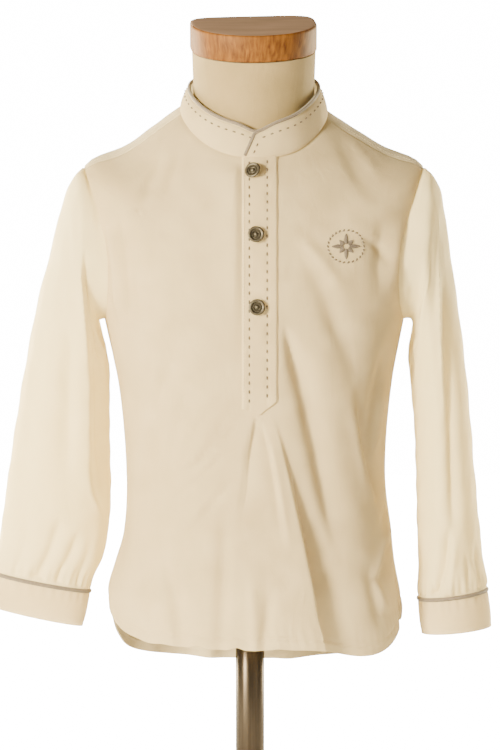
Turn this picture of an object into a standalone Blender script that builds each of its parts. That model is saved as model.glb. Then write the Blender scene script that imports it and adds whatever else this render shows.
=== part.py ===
"""A child's long-sleeve shirt with a band collar and a half placket, worn by a limbless dress form on a pole stand.

The shirt is cut from a front, a back, two sleeves, two cuffs, a collar band and two placket strips, with
piping at the collar's edge and above the cuffs, and three shank buttons. The front and the back are panels of
one body surface, which is read by an angle round the body and a distance down from the neck seam.
Metres, +Z up. The front faces -Y, and +X is the viewer's right. The origin is the middle of the base's underside.
"""

import math
from collections import namedtuple

import bmesh
import bpy
import numpy as np
from mathutils import Matrix, Vector

# Cloth and seams
WALL = 0.0016  # thickness of every cloth wall
SEAM = 0.0004  # gap between two pieces that are sewn together
CORNER_SEAM = 2.0  # the gap at the armhole's two sharp corners, in seam gaps
LIFT = 0.0004  # gap under a piece that lies on a panel
LEAN = 0.03  # the neckline is lower on the viewer's right by this share of its width
LEAN_TO = 0.12  # how far down the body this goes
AXIS_X = 0.0030  # the form and the shirt stand this far to the right of the pole's middle

# Places down the body surface, from 0 at the neck seam to 1 at the hem
R_TIP = 0.20  # the shoulder tip, where the sleeve seam is highest
R_PIT = 0.42  # the armpit
R_SLIT = 0.545  # the lower end of the slit that the placket closes
R_PLACKET = 0.5585  # the point of the placket
R_SIDE_SLIT = 0.90  # the top of the slit in each side seam
SIDE_SLIT_OPEN = 0.0025  # how far each edge of a side slit stands back from the seam line at the hem
ROWS_SHOULDER = 3
ROWS_ARMHOLE = 10
ROWS_SLIT = 3
ROWS_SKIRT = 11

# Columns across the panels
COLUMNS_LEFT = 11
COLUMNS_MIDDLE = 4
COLUMNS_RIGHT = 17
COLUMNS_BACK = 18

# Armhole: how far it opens in front of and behind its seam line, in degrees round the body
ARMHOLE_FRONT = 18.0
ARMHOLE_BACK = 21.0

# Placket
PLACKET_X = 0.0042  # middle of the placket, to the viewer's right of the neck's middle
PLACKET_WIDTH = 0.0268
UNDER_WIDTH = 0.0230
PLACKET_CORNER = 0.0105  # the placket's right corner lies this far above its point
PLACKET_LEFT_CORNER = 0.0045

# Collar
COLLAR_ROWS = 3
UNDER_COLUMNS = 3
OVER_COLUMNS = 4
COLLAR_BULGE = 0.0012
OVER_END_LOW_X = -0.0060
OVER_END_HIGH_X = 0.0020
UNDER_END_X = 0.0120
END_DIP = 0.0050  # how far the collar's top edge drops at its ends
END_DIP_WIDTH = 0.010
OVERLAP_FROM_DEG = 35.0  # the over end leaves the neck seam here, forward of the viewer's right side
OVERLAP_TO_DEG = 57.0
PIPING_RADIUS = 0.0009

# Cuffs
CUFF_ROWS = 3
CUFF_BULGE = 0.0006
CUFF_PIPING_HEIGHT = 0.0028
CUFF_PIPING_PROUD = 0.0007

# Pleat under the placket
PLEAT_POINT_Z = 0.3625  # where it starts, under the placket's point
PLEAT_HEM_Z = 0.1875
PLEAT_GROWTH = 1.3  # it is at its full depth this much sooner than at the hem
PLEAT_DEPTH = 0.0125
PLEAT_WALL_WIDTH = 0.0050  # width of the step down at its right edge
PLEAT_WALL_DEG = 3.2  # the same width as an angle round the body, for the panel's columns
PLEAT_ROLL_WIDTH = 0.030  # width over which the cloth rolls out again
PLEAT_RIDGE = 0.0015  # how far its right edge stands proud
PLEAT_RIDGE_LEFT = 0.014
PLEAT_RIDGE_RIGHT = 0.002
PLEAT_RIDGE_GROWTH = 0.03

# Where folds fade out, so that a panel lies flat under the placket, at its side and at the neck seam
FLAT_MARGIN = 0.001
FLAT_FADE = 0.010
SIDE_FADE = 0.30
NECK_FADE = 0.05

# Buttons
BUTTON_RADIUS = 0.0062
BUTTON_STEPS = 14
BUTTON_TILT_LIFT = 0.0016  # how far a tilted button's foot is lifted, per unit of the tilt's sine

# Stand and neck cap
BASE_RADIUS = 0.140
BASE_STEPS = 40
POLE_RADIUS = 0.0113
POLE_STEPS = 24
POLE_FOOT_Z = 0.0220
FORM_FLOOR_Z = 0.2120
CAP_THICKNESS = 0.0210
CAP_TILT = math.radians(15.0)
NECK_TOP_Z = 0.6405
CONTACT = 0.0003  # gap between hard pieces that stand on each other
FORM_COLUMNS = 28

# A ring's height goes from side_z to front_z and back_z. The bend says how near the side it has turned, and the
# slope says what share of the change is spread evenly over the width.
Ring = namedtuple(
    "Ring", "r side_z front_z back_z half_width front_y back_y square bend_front bend_back slope_front slope_back"
)
BODY = [
    Ring(0.00, 0.5930, 0.5570, 0.6010, 0.0575, -0.0560, 0.0520, 2.0, 1.5, 1.5, 0.0, 0.0),
    Ring(0.06, 0.5775, 0.5350, 0.5900, 0.0800, -0.0670, 0.0620, 2.0, 1.7, 1.7, 0.0, 0.0),
    Ring(0.13, 0.5625, 0.5100, 0.5740, 0.1035, -0.0755, 0.0710, 2.0, 1.9, 1.9, 0.0, 0.0),
    Ring(0.20, 0.5500, 0.4850, 0.5520, 0.1320, -0.0800, 0.0770, 2.0, 2.0, 2.0, 0.0, 0.0),
    Ring(0.31, 0.4930, 0.4560, 0.4950, 0.1290, -0.0830, 0.0805, 2.2, 2.0, 2.0, 0.0, 0.0),
    Ring(0.42, 0.4320, 0.4300, 0.4340, 0.1170, -0.0850, 0.0805, 2.3, 2.0, 2.0, 0.0, 0.0),
    Ring(0.53, 0.3780, 0.3780, 0.3780, 0.1065, -0.0870, 0.0780, 2.3, 2.0, 2.0, 0.0, 0.0),
    Ring(0.65, 0.3140, 0.3140, 0.3140, 0.1015, -0.0890, 0.0765, 2.3, 2.0, 2.0, 0.0, 0.0),
    Ring(0.77, 0.2660, 0.2640, 0.2600, 0.1050, -0.0925, 0.0790, 2.3, 2.0, 3.0, 0.0, 0.0),
    Ring(0.87, 0.2400, 0.2330, 0.2150, 0.1100, -0.0950, 0.0825, 2.3, 3.0, 6.0, 0.2, 0.05),
    Ring(0.94, 0.2210, 0.2070, 0.1800, 0.1145, -0.0965, 0.0855, 2.3, 4.5, 9.0, 0.3, 0.08),
    Ring(1.00, 0.2060, 0.1845, 0.1490, 0.1155, -0.0975, 0.0880, 2.3, 5.5, 12.0, 0.35, 0.08),
]

# The body's middle moves a little to the viewer's right at the waist
Sway = namedtuple("Sway", "r x")
SWAY = [
    Sway(0.00, 0.0000),
    Sway(0.42, 0.0003),
    Sway(0.53, 0.0010),
    Sway(0.65, 0.0015),
    Sway(0.77, 0.0030),
    Sway(0.87, 0.0008),
    Sway(0.94, 0.0000),
    Sway(1.00, 0.0015),
]

# The hem hangs lower beside the pleat, on the viewer's right of the front
HEM_DROP = 0.0130
HEM_DROP_X = 0.098
HEM_DROP_WIDTH = 0.036
HEM_DROP_FROM = 0.80

# The seam line between front and back, in degrees forward of the body's side
SeamLine = namedtuple("SeamLine", "r right_deg left_deg")
SEAM_LINE = [
    SeamLine(0.00, 8.0, 8.0),
    SeamLine(0.20, 3.0, 3.0),
    SeamLine(0.42, 5.0, 4.0),
    SeamLine(0.70, 9.0, 4.0),
    SeamLine(1.00, 12.0, 5.0),
]

# Edges of the box pleat, seen from the front; above the pleat they are the edges of the slit
PleatLine = namedtuple("PleatLine", "z left_x right_x")
PLEAT_LINES = [
    PleatLine(0.1500, -0.0250, 0.0600),
    PleatLine(0.1850, -0.0210, 0.0550),
    PleatLine(0.2320, -0.0165, 0.0460),
    PleatLine(0.2880, -0.0110, 0.0330),
    PleatLine(0.3300, -0.0045, 0.0220),
    PleatLine(0.3550, -0.0033, 0.0135),
    PleatLine(0.3700, -0.0033, 0.0117),
    PleatLine(0.6000, -0.0033, 0.0117),
]

# Soft troughs (depth above 0) and ridges, seen from the front; widths are on the line's left and right
Fold = namedtuple("Fold", "name x0 z0 x1 z1 bow depth left right fade_in fade_out")
FRONT_FOLDS = [
    Fold("pleat_left_edge", 0.0023, 0.3625, -0.0115, 0.283, 0.000, 0.0022, 0.0030, 0.0050, 0.2, 0.4),
    Fold("placket_drag", 0.0205, 0.432, 0.0690, 0.247, 0.003, 0.0060, 0.0080, 0.0120, 0.3, 0.4),
    Fold("side_hollow", 0.0860, 0.400, 0.1040, 0.255, 0.000, 0.0040, 0.0050, 0.0090, 0.4, 0.4),
    Fold("collar_drag", 0.0650, 0.578, 0.1060, 0.508, 0.000, 0.0028, 0.0080, 0.0090, 0.3, 0.4),
    Fold("chest_drag", 0.0345, 0.476, 0.0810, 0.372, 0.004, 0.0032, 0.0100, 0.0130, 0.4, 0.4),
    Fold("left_tension", -0.0143, 0.368, -0.0706, 0.290, 0.000, 0.0014, 0.0070, 0.0070, 0.3, 0.4),
    Fold("left_fall", -0.0668, 0.409, -0.0894, 0.290, 0.000, 0.0018, 0.0070, 0.0080, 0.4, 0.4),
    Fold("hem_wave_left", -0.0760, 0.262, -0.0920, 0.190, 0.000, 0.0026, 0.0080, 0.0080, 0.5, 0.0),
    Fold("hem_wave_inner", -0.0630, 0.262, -0.0520, 0.180, 0.000, 0.0024, 0.0080, 0.0080, 0.5, 0.0),
    Fold("hem_wave_middle", -0.0210, 0.300, -0.0260, 0.180, 0.000, 0.0030, 0.0100, 0.0100, 0.5, 0.0),
]
BACK_FOLDS = [
    Fold("blade_left", -0.0450, 0.520, -0.0600, 0.260, 0.004, 0.0030, 0.0120, 0.0120, 0.4, 0.4),
    Fold("blade_right", 0.0480, 0.520, 0.0620, 0.240, -0.004, 0.0034, 0.0120, 0.0120, 0.4, 0.4),
    Fold("tail_left", -0.0250, 0.330, -0.0380, 0.140, 0.000, 0.0050, 0.0140, 0.0140, 0.5, 0.0),
    Fold("tail_right", 0.0200, 0.340, 0.0300, 0.140, 0.000, 0.0046, 0.0140, 0.0140, 0.5, 0.0),
]

# Sleeve sections: the outer and the inner point in the front view, and the depth in front of and behind y_mid
Section = namedtuple("Section", "outer_x outer_z inner_x inner_z y_mid front back")
LEFT_SLEEVE = [
    Section(-0.1360, 0.5460, -0.1215, 0.4290, -0.007, 0.0380, 0.0380),
    Section(-0.1430, 0.5370, -0.1205, 0.4180, -0.006, 0.0385, 0.0400),
    Section(-0.1510, 0.5150, -0.1150, 0.4050, -0.004, 0.0390, 0.0415),
    Section(-0.1587, 0.4840, -0.1128, 0.3910, -0.002, 0.0390, 0.0420),
    Section(-0.1678, 0.4500, -0.1128, 0.3760, -0.001, 0.0380, 0.0400),
    Section(-0.1770, 0.4050, -0.1128, 0.3520, -0.001, 0.0360, 0.0370),
    Section(-0.1845, 0.3620, -0.1125, 0.3270, -0.002, 0.0330, 0.0340),
    Section(-0.1910, 0.3200, -0.1118, 0.2990, -0.003, 0.0300, 0.0300),
    Section(-0.1970, 0.2780, -0.1135, 0.2700, -0.004, 0.0270, 0.0270),
    Section(-0.2005, 0.2520, -0.1185, 0.2440, -0.005, 0.0240, 0.0240),
    Section(-0.2030, 0.2400, -0.1262, 0.2280, -0.006, 0.0210, 0.0210),
]
RIGHT_SLEEVE = [
    Section(0.1366, 0.5455, 0.1228, 0.4310, -0.009, 0.0380, 0.0380),
    Section(0.1440, 0.5350, 0.1238, 0.4190, -0.007, 0.0385, 0.0400),
    Section(0.1492, 0.5110, 0.1205, 0.4030, -0.004, 0.0395, 0.0420),
    Section(0.1535, 0.4820, 0.1220, 0.3890, -0.002, 0.0405, 0.0430),
    Section(0.1585, 0.4490, 0.1235, 0.3720, -0.001, 0.0415, 0.0430),
    Section(0.1645, 0.4040, 0.1258, 0.3480, -0.001, 0.0420, 0.0430),
    Section(0.1690, 0.3600, 0.1268, 0.3230, -0.002, 0.0425, 0.0430),
    Section(0.1725, 0.3180, 0.1275, 0.2960, -0.003, 0.0420, 0.0420),
    Section(0.1765, 0.2760, 0.1280, 0.2680, -0.004, 0.0390, 0.0390),
    Section(0.1800, 0.2440, 0.1290, 0.2380, -0.005, 0.0340, 0.0340),
    Section(0.1826, 0.2270, 0.1286, 0.2200, -0.006, 0.0305, 0.0305),
]
LEFT_CUFF = [
    Section(-0.2035, 0.2335, -0.1285, 0.2190, -0.006, 0.0175, 0.0175),
    Section(-0.2075, 0.2060, -0.1345, 0.1900, -0.007, 0.0150, 0.0150),
]
RIGHT_CUFF = [
    Section(0.1830, 0.2207, 0.1290, 0.2132, -0.006, 0.0275, 0.0275),
    Section(0.1867, 0.1905, 0.1318, 0.1845, -0.007, 0.0255, 0.0255),
]

# Sleeve folds: angle round the sleeve (0 outer, 90 front, 180 inner), and the share of the length it runs along
SleeveFold = namedtuple("SleeveFold", "name angle0 angle1 along0 along1 depth width_deg")
LEFT_SLEEVE_FOLDS = [
    SleeveFold("front_fall", 95, 80, 0.05, 0.60, 0.0035, 26),
    SleeveFold("gather_outer", 70, 95, 0.74, 1.00, 0.0030, 15),
    SleeveFold("gather_inner", 105, 125, 0.72, 1.00, 0.0028, 15),
    SleeveFold("back_fall", 265, 280, 0.20, 0.80, 0.0035, 26),
]
RIGHT_SLEEVE_FOLDS = [
    SleeveFold("front_fall", 70, 62, 0.30, 0.95, 0.0045, 22),
    SleeveFold("gather_inner", 120, 110, 0.74, 1.00, 0.0025, 16),
    SleeveFold("back_fall", 285, 270, 0.15, 0.85, 0.0035, 26),
]

# The collar's top edge, outer side
Edge = namedtuple("Edge", "half_width front back side_z front_z back_z")
COLLAR_TOP = Edge(0.0508, 0.0508, 0.0475, 0.6110, 0.5810, 0.6210)

Stud = namedtuple("Stud", "name x z turn_deg")
BUTTONS = [
    Stud("button_top", 0.0005, 0.5455, -24.0),
    Stud("button_middle", 0.0015, 0.4985, 0.0),
    Stud("button_low", 0.0023, 0.4440, 0.0),
]

# Half outline of a button, from the middle of its face round to the middle of its shank
ButtonPoint = namedtuple("ButtonPoint", "radius height")
BUTTON_OUTLINE = [
    ButtonPoint(0.0000, 0.0050),
    ButtonPoint(0.0011, 0.0050),
    ButtonPoint(0.0022, 0.0042),
    ButtonPoint(0.0034, 0.0050),
    ButtonPoint(0.0052, 0.0051),
    ButtonPoint(BUTTON_RADIUS, 0.0044),
    ButtonPoint(BUTTON_RADIUS - 0.0004, 0.0034),
    ButtonPoint(0.0020, 0.0032),
    ButtonPoint(0.0016, 0.0000),
    ButtonPoint(0.0000, 0.0000),
]

# The form inside the shirt: how far it stays inside the cloth
FormGap = namedtuple("FormGap", "r front side back")
FORM_GAPS = [
    FormGap(0.02, 0.0060, 0.0030, 0.0045),
    FormGap(0.06, 0.0060, 0.0028, 0.0045),
    FormGap(0.13, 0.0065, 0.0028, 0.0050),
    FormGap(0.20, 0.0075, 0.0045, 0.0055),
    FormGap(0.31, 0.0090, 0.0130, 0.0070),
    FormGap(0.42, 0.0110, 0.0110, 0.0090),
    FormGap(0.53, 0.0130, 0.0070, 0.0100),
    FormGap(0.65, 0.0170, 0.0065, 0.0120),
    FormGap(0.80, 0.0220, 0.0120, 0.0160),
]
FORM_TOP_R = 0.03
FORM_LOW_R = 0.78
FORM_RINGS = 15

BasePoint = namedtuple("BasePoint", "radius z")
BASE_OUTLINE = [
    BasePoint(0.0000, POLE_FOOT_Z),
    BasePoint(0.0170, POLE_FOOT_Z),
    BasePoint(0.0190, 0.0200),
    BasePoint(0.0200, 0.0105),
    BasePoint(0.0260, 0.0090),
    BasePoint(BASE_RADIUS - 0.010, 0.0075),
    BasePoint(BASE_RADIUS - 0.002, 0.0055),
    BasePoint(BASE_RADIUS, 0.0030),
    BasePoint(BASE_RADIUS - 0.001, 0.0000),
    BasePoint(0.0000, 0.0000),
]

NeckRing = namedtuple("NeckRing", "side_z front_z back_z half_width front_y back_y square_back")
NECK = [
    NeckRing(0.5925, 0.5560, 0.5985, 0.0500, -0.0480, 0.0430, 2.1),
    NeckRing(0.6080, 0.5780, 0.6150, 0.0472, -0.0452, 0.0350, 2.4),
    NeckRing(0.6230, 0.6020, 0.6270, 0.0476, -0.0449, 0.0280, 3.6),
]
NECK_HALF_WIDTH = 0.0482
NECK_FRONT_Y = -0.0450
NECK_BACK_Y = 0.0260
NECK_SQUARE_FRONT = 2.05
NECK_SQUARE_BACK = 5.0
CAP_TURN = math.radians(6.0)
CAP_OVERHANG = 0.0008
CAP_COLUMNS = 40
CAP_EDGE = 0.0016

FloorRing = namedtuple("FloorRing", "z half_width front_y back_y")
FLOOR_SQUARE = 2.3
FORM_FLOOR = [
    FloorRing(0.2240, 0.0945, -0.0760, 0.0665),
    FloorRing(0.2150, 0.0925, -0.0740, 0.0645),
    FloorRing(FORM_FLOOR_Z, 0.0870, -0.0690, 0.0600),
]

# Colours, linear RGB, and finishes
CLOTH = dict(colour=(0.80, 0.73, 0.61), roughness=0.85, metallic=0.0)
TRIM = dict(colour=(0.30, 0.24, 0.20), roughness=0.80, metallic=0.0)
BUTTON = dict(colour=(0.30, 0.27, 0.22), roughness=0.40, metallic=0.8)
LINEN = dict(colour=(0.68, 0.60, 0.45), roughness=0.80, metallic=0.0)
WOOD = dict(colour=(0.47, 0.22, 0.07), roughness=0.30, metallic=0.0)
STEEL = dict(colour=(0.35, 0.30, 0.26), roughness=0.25, metallic=1.0)


def clear_scene():
    for item in list(bpy.data.objects):
        bpy.data.objects.remove(item, do_unlink=True)


def smoothstep(x):
    x = np.clip(x, 0.0, 1.0)
    return x * x * (3 - 2 * x)


def curve_through(xs, ys, x):
    """A smooth curve through the points (xs, ys), read at x."""
    xs = np.asarray(xs, float)
    ys = np.asarray(ys, float)
    slopes = np.gradient(ys, xs)
    i = np.clip(np.searchsorted(xs, x) - 1, 0, len(xs) - 2)
    h = xs[i + 1] - xs[i]
    s = (x - xs[i]) / h
    start = (1 + 2 * s) * (1 - s) ** 2 * ys[i] + s * (1 - s) ** 2 * h * slopes[i]
    end = s * s * (3 - 2 * s) * ys[i + 1] + s * s * (s - 1) * h * slopes[i + 1]
    return start + end


def column(table, key, name, x):
    """The named column of a table, read as a smooth curve of its key column."""
    return curve_through([getattr(row, key) for row in table], [getattr(row, name) for row in table], x)


def section_radius(t, half_width, depth, square):
    """Distance from the middle to a rounded-square outline, in the direction t."""
    across = np.abs(np.cos(t)) / half_width
    along = np.abs(np.sin(t)) / depth
    return (across**square + along**square) ** (-1 / square)


def body_surface(t, r):
    """The smooth outer surface of the shirt's body, before folds. t is the angle round the body from +X."""
    t, r = np.broadcast_arrays(np.asarray(t, float), np.asarray(r, float))
    front = np.sin(t) < 0
    ring = {name: column(BODY, "r", name, r) for name in Ring._fields}
    depth = np.where(front, -ring["front_y"], ring["back_y"])
    radius = section_radius(t, ring["half_width"], depth, ring["square"])
    x = radius * np.cos(t)
    y = radius * np.sin(t)
    bend = np.where(front, ring["bend_front"], ring["bend_back"])
    slope = np.where(front, ring["slope_front"], ring["slope_back"])
    beside = np.cos(t) ** 2
    turned = 1 - slope * beside - (1 - slope) * beside**bend
    middle_z = (ring["front_z"] + ring["back_z"]) / 2
    tilt = (ring["back_z"] - ring["front_z"]) / 2
    z = ring["side_z"] + tilt * np.sin(t) + (middle_z - ring["side_z"]) * turned
    z = z - LEAN * x * (1 - smoothstep(r / LEAN_TO))
    drop = np.exp(-(((x - HEM_DROP_X) / HEM_DROP_WIDTH) ** 2))
    drop = drop * smoothstep((r - HEM_DROP_FROM) / (1 - HEM_DROP_FROM))
    z = z - HEM_DROP * drop * smoothstep(-np.sin(t) / SIDE_FADE)
    return np.stack([x + column(SWAY, "r", "x", r), y, z], axis=-1)


def unit(v):
    return v / np.linalg.norm(v, axis=-1, keepdims=True)


def surface_normal(surface, t, r):
    """Outward normal of a surface that is read by (t, r), and its direction up towards the neck."""
    small = 1e-4
    r_low = np.clip(np.asarray(r, float) - small, 0, 1)
    r_high = np.clip(np.asarray(r, float) + small, 0, 1)
    down = surface(t, r_high) - surface(t, r_low)
    around = surface(np.asarray(t) + small, r) - surface(np.asarray(t) - small, r)
    return unit(np.cross(down, around)), -unit(down)


def fold_depth(folds, x, z):
    """How far the folds push the cloth in at a point of the front view."""
    total = np.zeros_like(x)
    for fold in folds:
        s = (fold.z0 - z) / (fold.z0 - fold.z1)
        inside = np.clip(s, 0, 1)
        line = fold.x0 + (fold.x1 - fold.x0) * inside + fold.bow * 4 * inside * (1 - inside)
        q = x - line
        shape = np.exp(-((q / np.where(q < 0, fold.left, fold.right)) ** 2))
        fade = np.where(s < 0, 0, 1.0)
        if fold.fade_in:
            fade = smoothstep(s / fold.fade_in)
        if fold.fade_out:
            fade = fade * smoothstep((1 - s) / fold.fade_out)
        total += fold.depth * shape * fade
    return total


def pleat_depth(x, z):
    """The box pleat: its right edge stands proud, and the cloth beside it drops back and rolls out again."""
    grown = smoothstep((PLEAT_POINT_Z - z) / (PLEAT_POINT_Z - PLEAT_HEM_Z) * PLEAT_GROWTH)
    q = x - np.interp(z, [p.z for p in PLEAT_LINES], [p.right_x for p in PLEAT_LINES])
    width = np.where(q < 0, PLEAT_RIDGE_LEFT, PLEAT_RIDGE_RIGHT)
    ridge = PLEAT_RIDGE * np.exp(-((q / width) ** 2)) * smoothstep((PLEAT_POINT_Z - z) / PLEAT_RIDGE_GROWTH)
    fall = smoothstep(q / PLEAT_WALL_WIDTH)
    roll = 1 - smoothstep((q - PLEAT_WALL_WIDTH) / PLEAT_ROLL_WIDTH)
    return PLEAT_DEPTH * grown * fall * roll - ridge


def placket_mask(x, z):
    """0 under the placket, where the cloth is held flat, and 1 clear of it."""
    beside = smoothstep((np.abs(x - PLACKET_X) - PLACKET_WIDTH / 2 - FLAT_MARGIN) / FLAT_FADE)
    below = smoothstep((PLEAT_POINT_Z + FLAT_MARGIN - z) / FLAT_FADE)
    return np.maximum(beside, below)


def folded_surface(t, r):
    """The shirt's body surface with its folds."""
    p = body_surface(t, r)
    n, _ = surface_normal(body_surface, t, r)
    x, z = p[..., 0], p[..., 2]
    s = np.broadcast_to(np.sin(t), x.shape)
    front = smoothstep(-s / SIDE_FADE) * placket_mask(x, z)
    back = smoothstep(s / SIDE_FADE)
    push = front * (fold_depth(FRONT_FOLDS, x, z) + pleat_depth(x, z))
    push = push + back * fold_depth(BACK_FOLDS, x, z)
    push = push * smoothstep(np.broadcast_to(r, x.shape) / NECK_FADE)
    return p - n * push[..., None]


def angle_at_x(x, r):
    """The angle on the front where the body surface has this x."""
    sway = column(SWAY, "r", "x", np.asarray(r, float))
    t = np.full(np.broadcast(x, r).shape, -math.pi / 2)
    for _ in range(12):
        point = body_surface(t, r)
        radius = np.hypot(point[..., 0] - sway, point[..., 1])
        t = -math.pi / 2 + np.arcsin(np.clip((x - sway) / radius, -1, 1))
    return t


def locate_front(x, z):
    """(t, r) of the front's point that is seen at x and z."""
    low, high = 0.0, 1.0
    for _ in range(40):
        r = (low + high) / 2
        t = float(angle_at_x(x, r))
        if body_surface(t, r)[2] > z:
            low = r
        else:
            high = r
    return t, r


def opening_angle(r, widest_deg):
    """How far the armhole's edge lies from the seam line, in radians."""
    middle = (R_TIP + R_PIT) / 2
    half = (R_PIT - R_TIP) / 2
    share = np.clip(1 - ((r - middle) / half) ** 2, 0, 1)
    return math.radians(widest_deg) * np.sqrt(share)


def seam_angle(side, r):
    """Angle of the seam line on the right (side 1) or left (side -1), measured forward of the body's side."""
    name = "right_deg" if side > 0 else "left_deg"
    return np.radians(np.interp(r, [s.r for s in SEAM_LINE], [getattr(s, name) for s in SEAM_LINE]))


def edge_angle(side, r, front):
    """Angle t of a panel's edge on one side: the seam line, opened out along the armhole, less half the seam gap."""
    line = seam_angle(side, r)
    radius = np.linalg.norm(body_surface(0.0, r)[..., :2], axis=-1)
    half_gap = SEAM / 2 / radius
    half_gap = half_gap + SIDE_SLIT_OPEN / radius * smoothstep((r - R_SIDE_SLIT) / (1 - R_SIDE_SLIT))
    if front:
        forward = line + opening_angle(r, ARMHOLE_FRONT) + half_gap
    else:
        forward = line - opening_angle(r, ARMHOLE_BACK) - half_gap
    if side > 0:
        return -forward
    return -math.pi + forward if front else math.pi + forward


def panel_rows():
    """Distances down the body of the panels' rows, and the row where the slit ends."""
    turn = np.linspace(0, math.pi, ROWS_ARMHOLE + 1)
    armhole = (R_TIP + R_PIT) / 2 - (R_PIT - R_TIP) / 2 * np.cos(turn)
    rows = np.concatenate([
        np.linspace(0, R_TIP, ROWS_SHOULDER + 1)[:-1],
        armhole[:-1],
        np.linspace(R_PIT, R_SLIT, ROWS_SLIT + 1)[:-1],
        np.linspace(R_SLIT, 1, ROWS_SKIRT + 1),
    ])
    return rows, ROWS_SHOULDER + ROWS_ARMHOLE + ROWS_SLIT


def pleat_x(r, name):
    z = body_surface(-math.pi / 2, r)[..., 2]
    return np.interp(z, [p.z for p in PLEAT_LINES], [getattr(p, name) for p in PLEAT_LINES])


def front_angles(rows):
    """Angles of the front panel's columns in each row: left of the slit or pleat, across it, and right of it."""
    grid = []
    for r in rows:
        left = float(edge_angle(-1, r, True))
        right = float(edge_angle(1, r, True))
        slit_left = float(angle_at_x(pleat_x(r, "left_x"), r))
        slit_right = float(angle_at_x(pleat_x(r, "right_x"), r))
        wall = math.radians(PLEAT_WALL_DEG)
        parts = [
            np.linspace(left, slit_left, COLUMNS_LEFT + 1)[:-1],
            np.linspace(slit_left, slit_right, COLUMNS_MIDDLE + 1)[:-1],
            [slit_right, slit_right + wall / 2],
            np.linspace(slit_right + wall, right, COLUMNS_RIGHT - 1),
        ]
        grid.append(np.concatenate(parts))
    return np.array(grid)


def back_angles(rows):
    return np.array([
        np.linspace(float(edge_angle(1, r, False)), float(edge_angle(-1, r, False)), COLUMNS_BACK + 1) for r in rows
    ])


def grid_normals(outer, closed):
    """Normals of a grid of points, rows first, that face out where the columns turn anticlockwise from above."""
    if closed:
        around = np.roll(outer, -1, axis=1) - np.roll(outer, 1, axis=1)
    else:
        around = np.gradient(outer, axis=1)
    down = np.gradient(outer, axis=0)
    return unit(np.cross(down, around))


def wall_mesh(name, outer, inner, closed=False, cut=None):
    """A cloth wall between an outer and an inner grid of points. cut holds the (row, column) cells to leave out."""
    rows, columns = outer.shape[:2]
    span = columns if closed else columns - 1
    cells = [(i, j) for i in range(rows - 1) for j in range(span) if not (cut and (i, j) in cut)]
    points = np.concatenate([outer.reshape(-1, 3), inner.reshape(-1, 3)])
    count = rows * columns

    def index(i, j):
        return i * columns + j % columns

    faces = []
    edges = {}
    for i, j in cells:
        loop = [index(i, j), index(i + 1, j), index(i + 1, j + 1), index(i, j + 1)]
        faces.append(loop)
        faces.append([k + count for k in reversed(loop)])
        for a, b in zip(loop, loop[1:] + loop[:1]):
            edges[(a, b)] = True
    for a, b in edges:
        if (b, a) not in edges:
            faces.append([b, a, a + count, b + count])
    return mesh_object(name, points, faces)


def mesh_object(name, points, faces):
    """A named object from points and faces, without the points that no face uses."""
    mesh = bpy.data.meshes.new(name)
    mesh.from_pydata([tuple(p) for p in points], [], faces)
    work = bmesh.new()
    work.from_mesh(mesh)
    bmesh.ops.delete(work, geom=[v for v in work.verts if not v.link_faces], context="VERTS")
    work.to_mesh(mesh)
    work.free()
    mesh.update()
    return bpy.data.objects.new(name, mesh)


def dress(item, collection, material, parent, x):
    """Puts an object in the collection with its material, shaded smooth and moved along X."""
    collection.objects.link(item)
    item.data.materials.clear()
    item.data.materials.append(material)
    item.parent = parent
    item.matrix_world = Matrix.Translation((x, 0, 0)) @ item.matrix_world
    item.data.shade_smooth()
    item.data.set_sharp_from_angle(angle=math.radians(50))
    return item


def make_material(name, colour, roughness, metallic):
    material = bpy.data.materials.new(name)
    material.use_nodes = True
    shader = material.node_tree.nodes["Principled BSDF"]
    shader.inputs["Base Color"].default_value = (*colour, 1.0)
    shader.inputs["Roughness"].default_value = roughness
    shader.inputs["Metallic"].default_value = metallic
    return material


def panel(name, angles, rows, cut=None):
    """A body panel: its outer points lie on the folded surface, and its inner ones a wall's thickness inside."""
    r = np.broadcast_to(rows[:, None], angles.shape)
    outer = folded_surface(angles, r)
    n, _ = surface_normal(folded_surface, angles, r)
    return wall_mesh(name, outer, outer - n * WALL, cut=cut)


def make_front(rows, slit_row):
    angles = front_angles(rows)
    slit = {(i, j) for i in range(slit_row) for j in range(COLUMNS_LEFT, COLUMNS_LEFT + COLUMNS_MIDDLE)}
    return panel("front", angles, rows, slit)


def make_back(rows):
    return panel("back", back_angles(rows), rows)


def armhole_loop(side):
    """The armhole's edge, from the shoulder tip forward and down to the armpit and up behind.

    Gives its outer and inner points, and at each the way from the panel into the armhole."""
    turn = np.linspace(0, math.pi, ROWS_ARMHOLE + 1)
    rows = (R_TIP + R_PIT) / 2 - (R_PIT - R_TIP) / 2 * np.cos(turn)
    front = [(float(edge_angle(side, r, True)), r) for r in rows[1:-1]]
    back = [(float(edge_angle(side, r, False)), r) for r in rows[1:-1]]
    middle = [(-float(seam_angle(side, r)), r) for r in (R_TIP, R_PIT)]
    if side < 0:
        middle = [(-math.pi - t, r) for t, r in middle]
    loop = [middle[0]] + front + [middle[1]] + back[::-1]
    t = np.array([a for a, _ in loop])
    r = np.array([b for _, b in loop])
    outer = folded_surface(t, r)
    n, _ = surface_normal(folded_surface, t, r)
    along = unit(np.roll(outer, -1, axis=0) - np.roll(outer, 1, axis=0))
    away = unit(np.cross(n, along) * side)
    away[[0, ROWS_ARMHOLE]] *= CORNER_SEAM
    return outer, outer - n * WALL, away


def sleeve_angles():
    """Angles round the sleeve from its outer line forward, one for each point of the armhole loop."""
    return np.arange(2 * ROWS_ARMHOLE) * math.pi / ROWS_ARMHOLE


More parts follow.
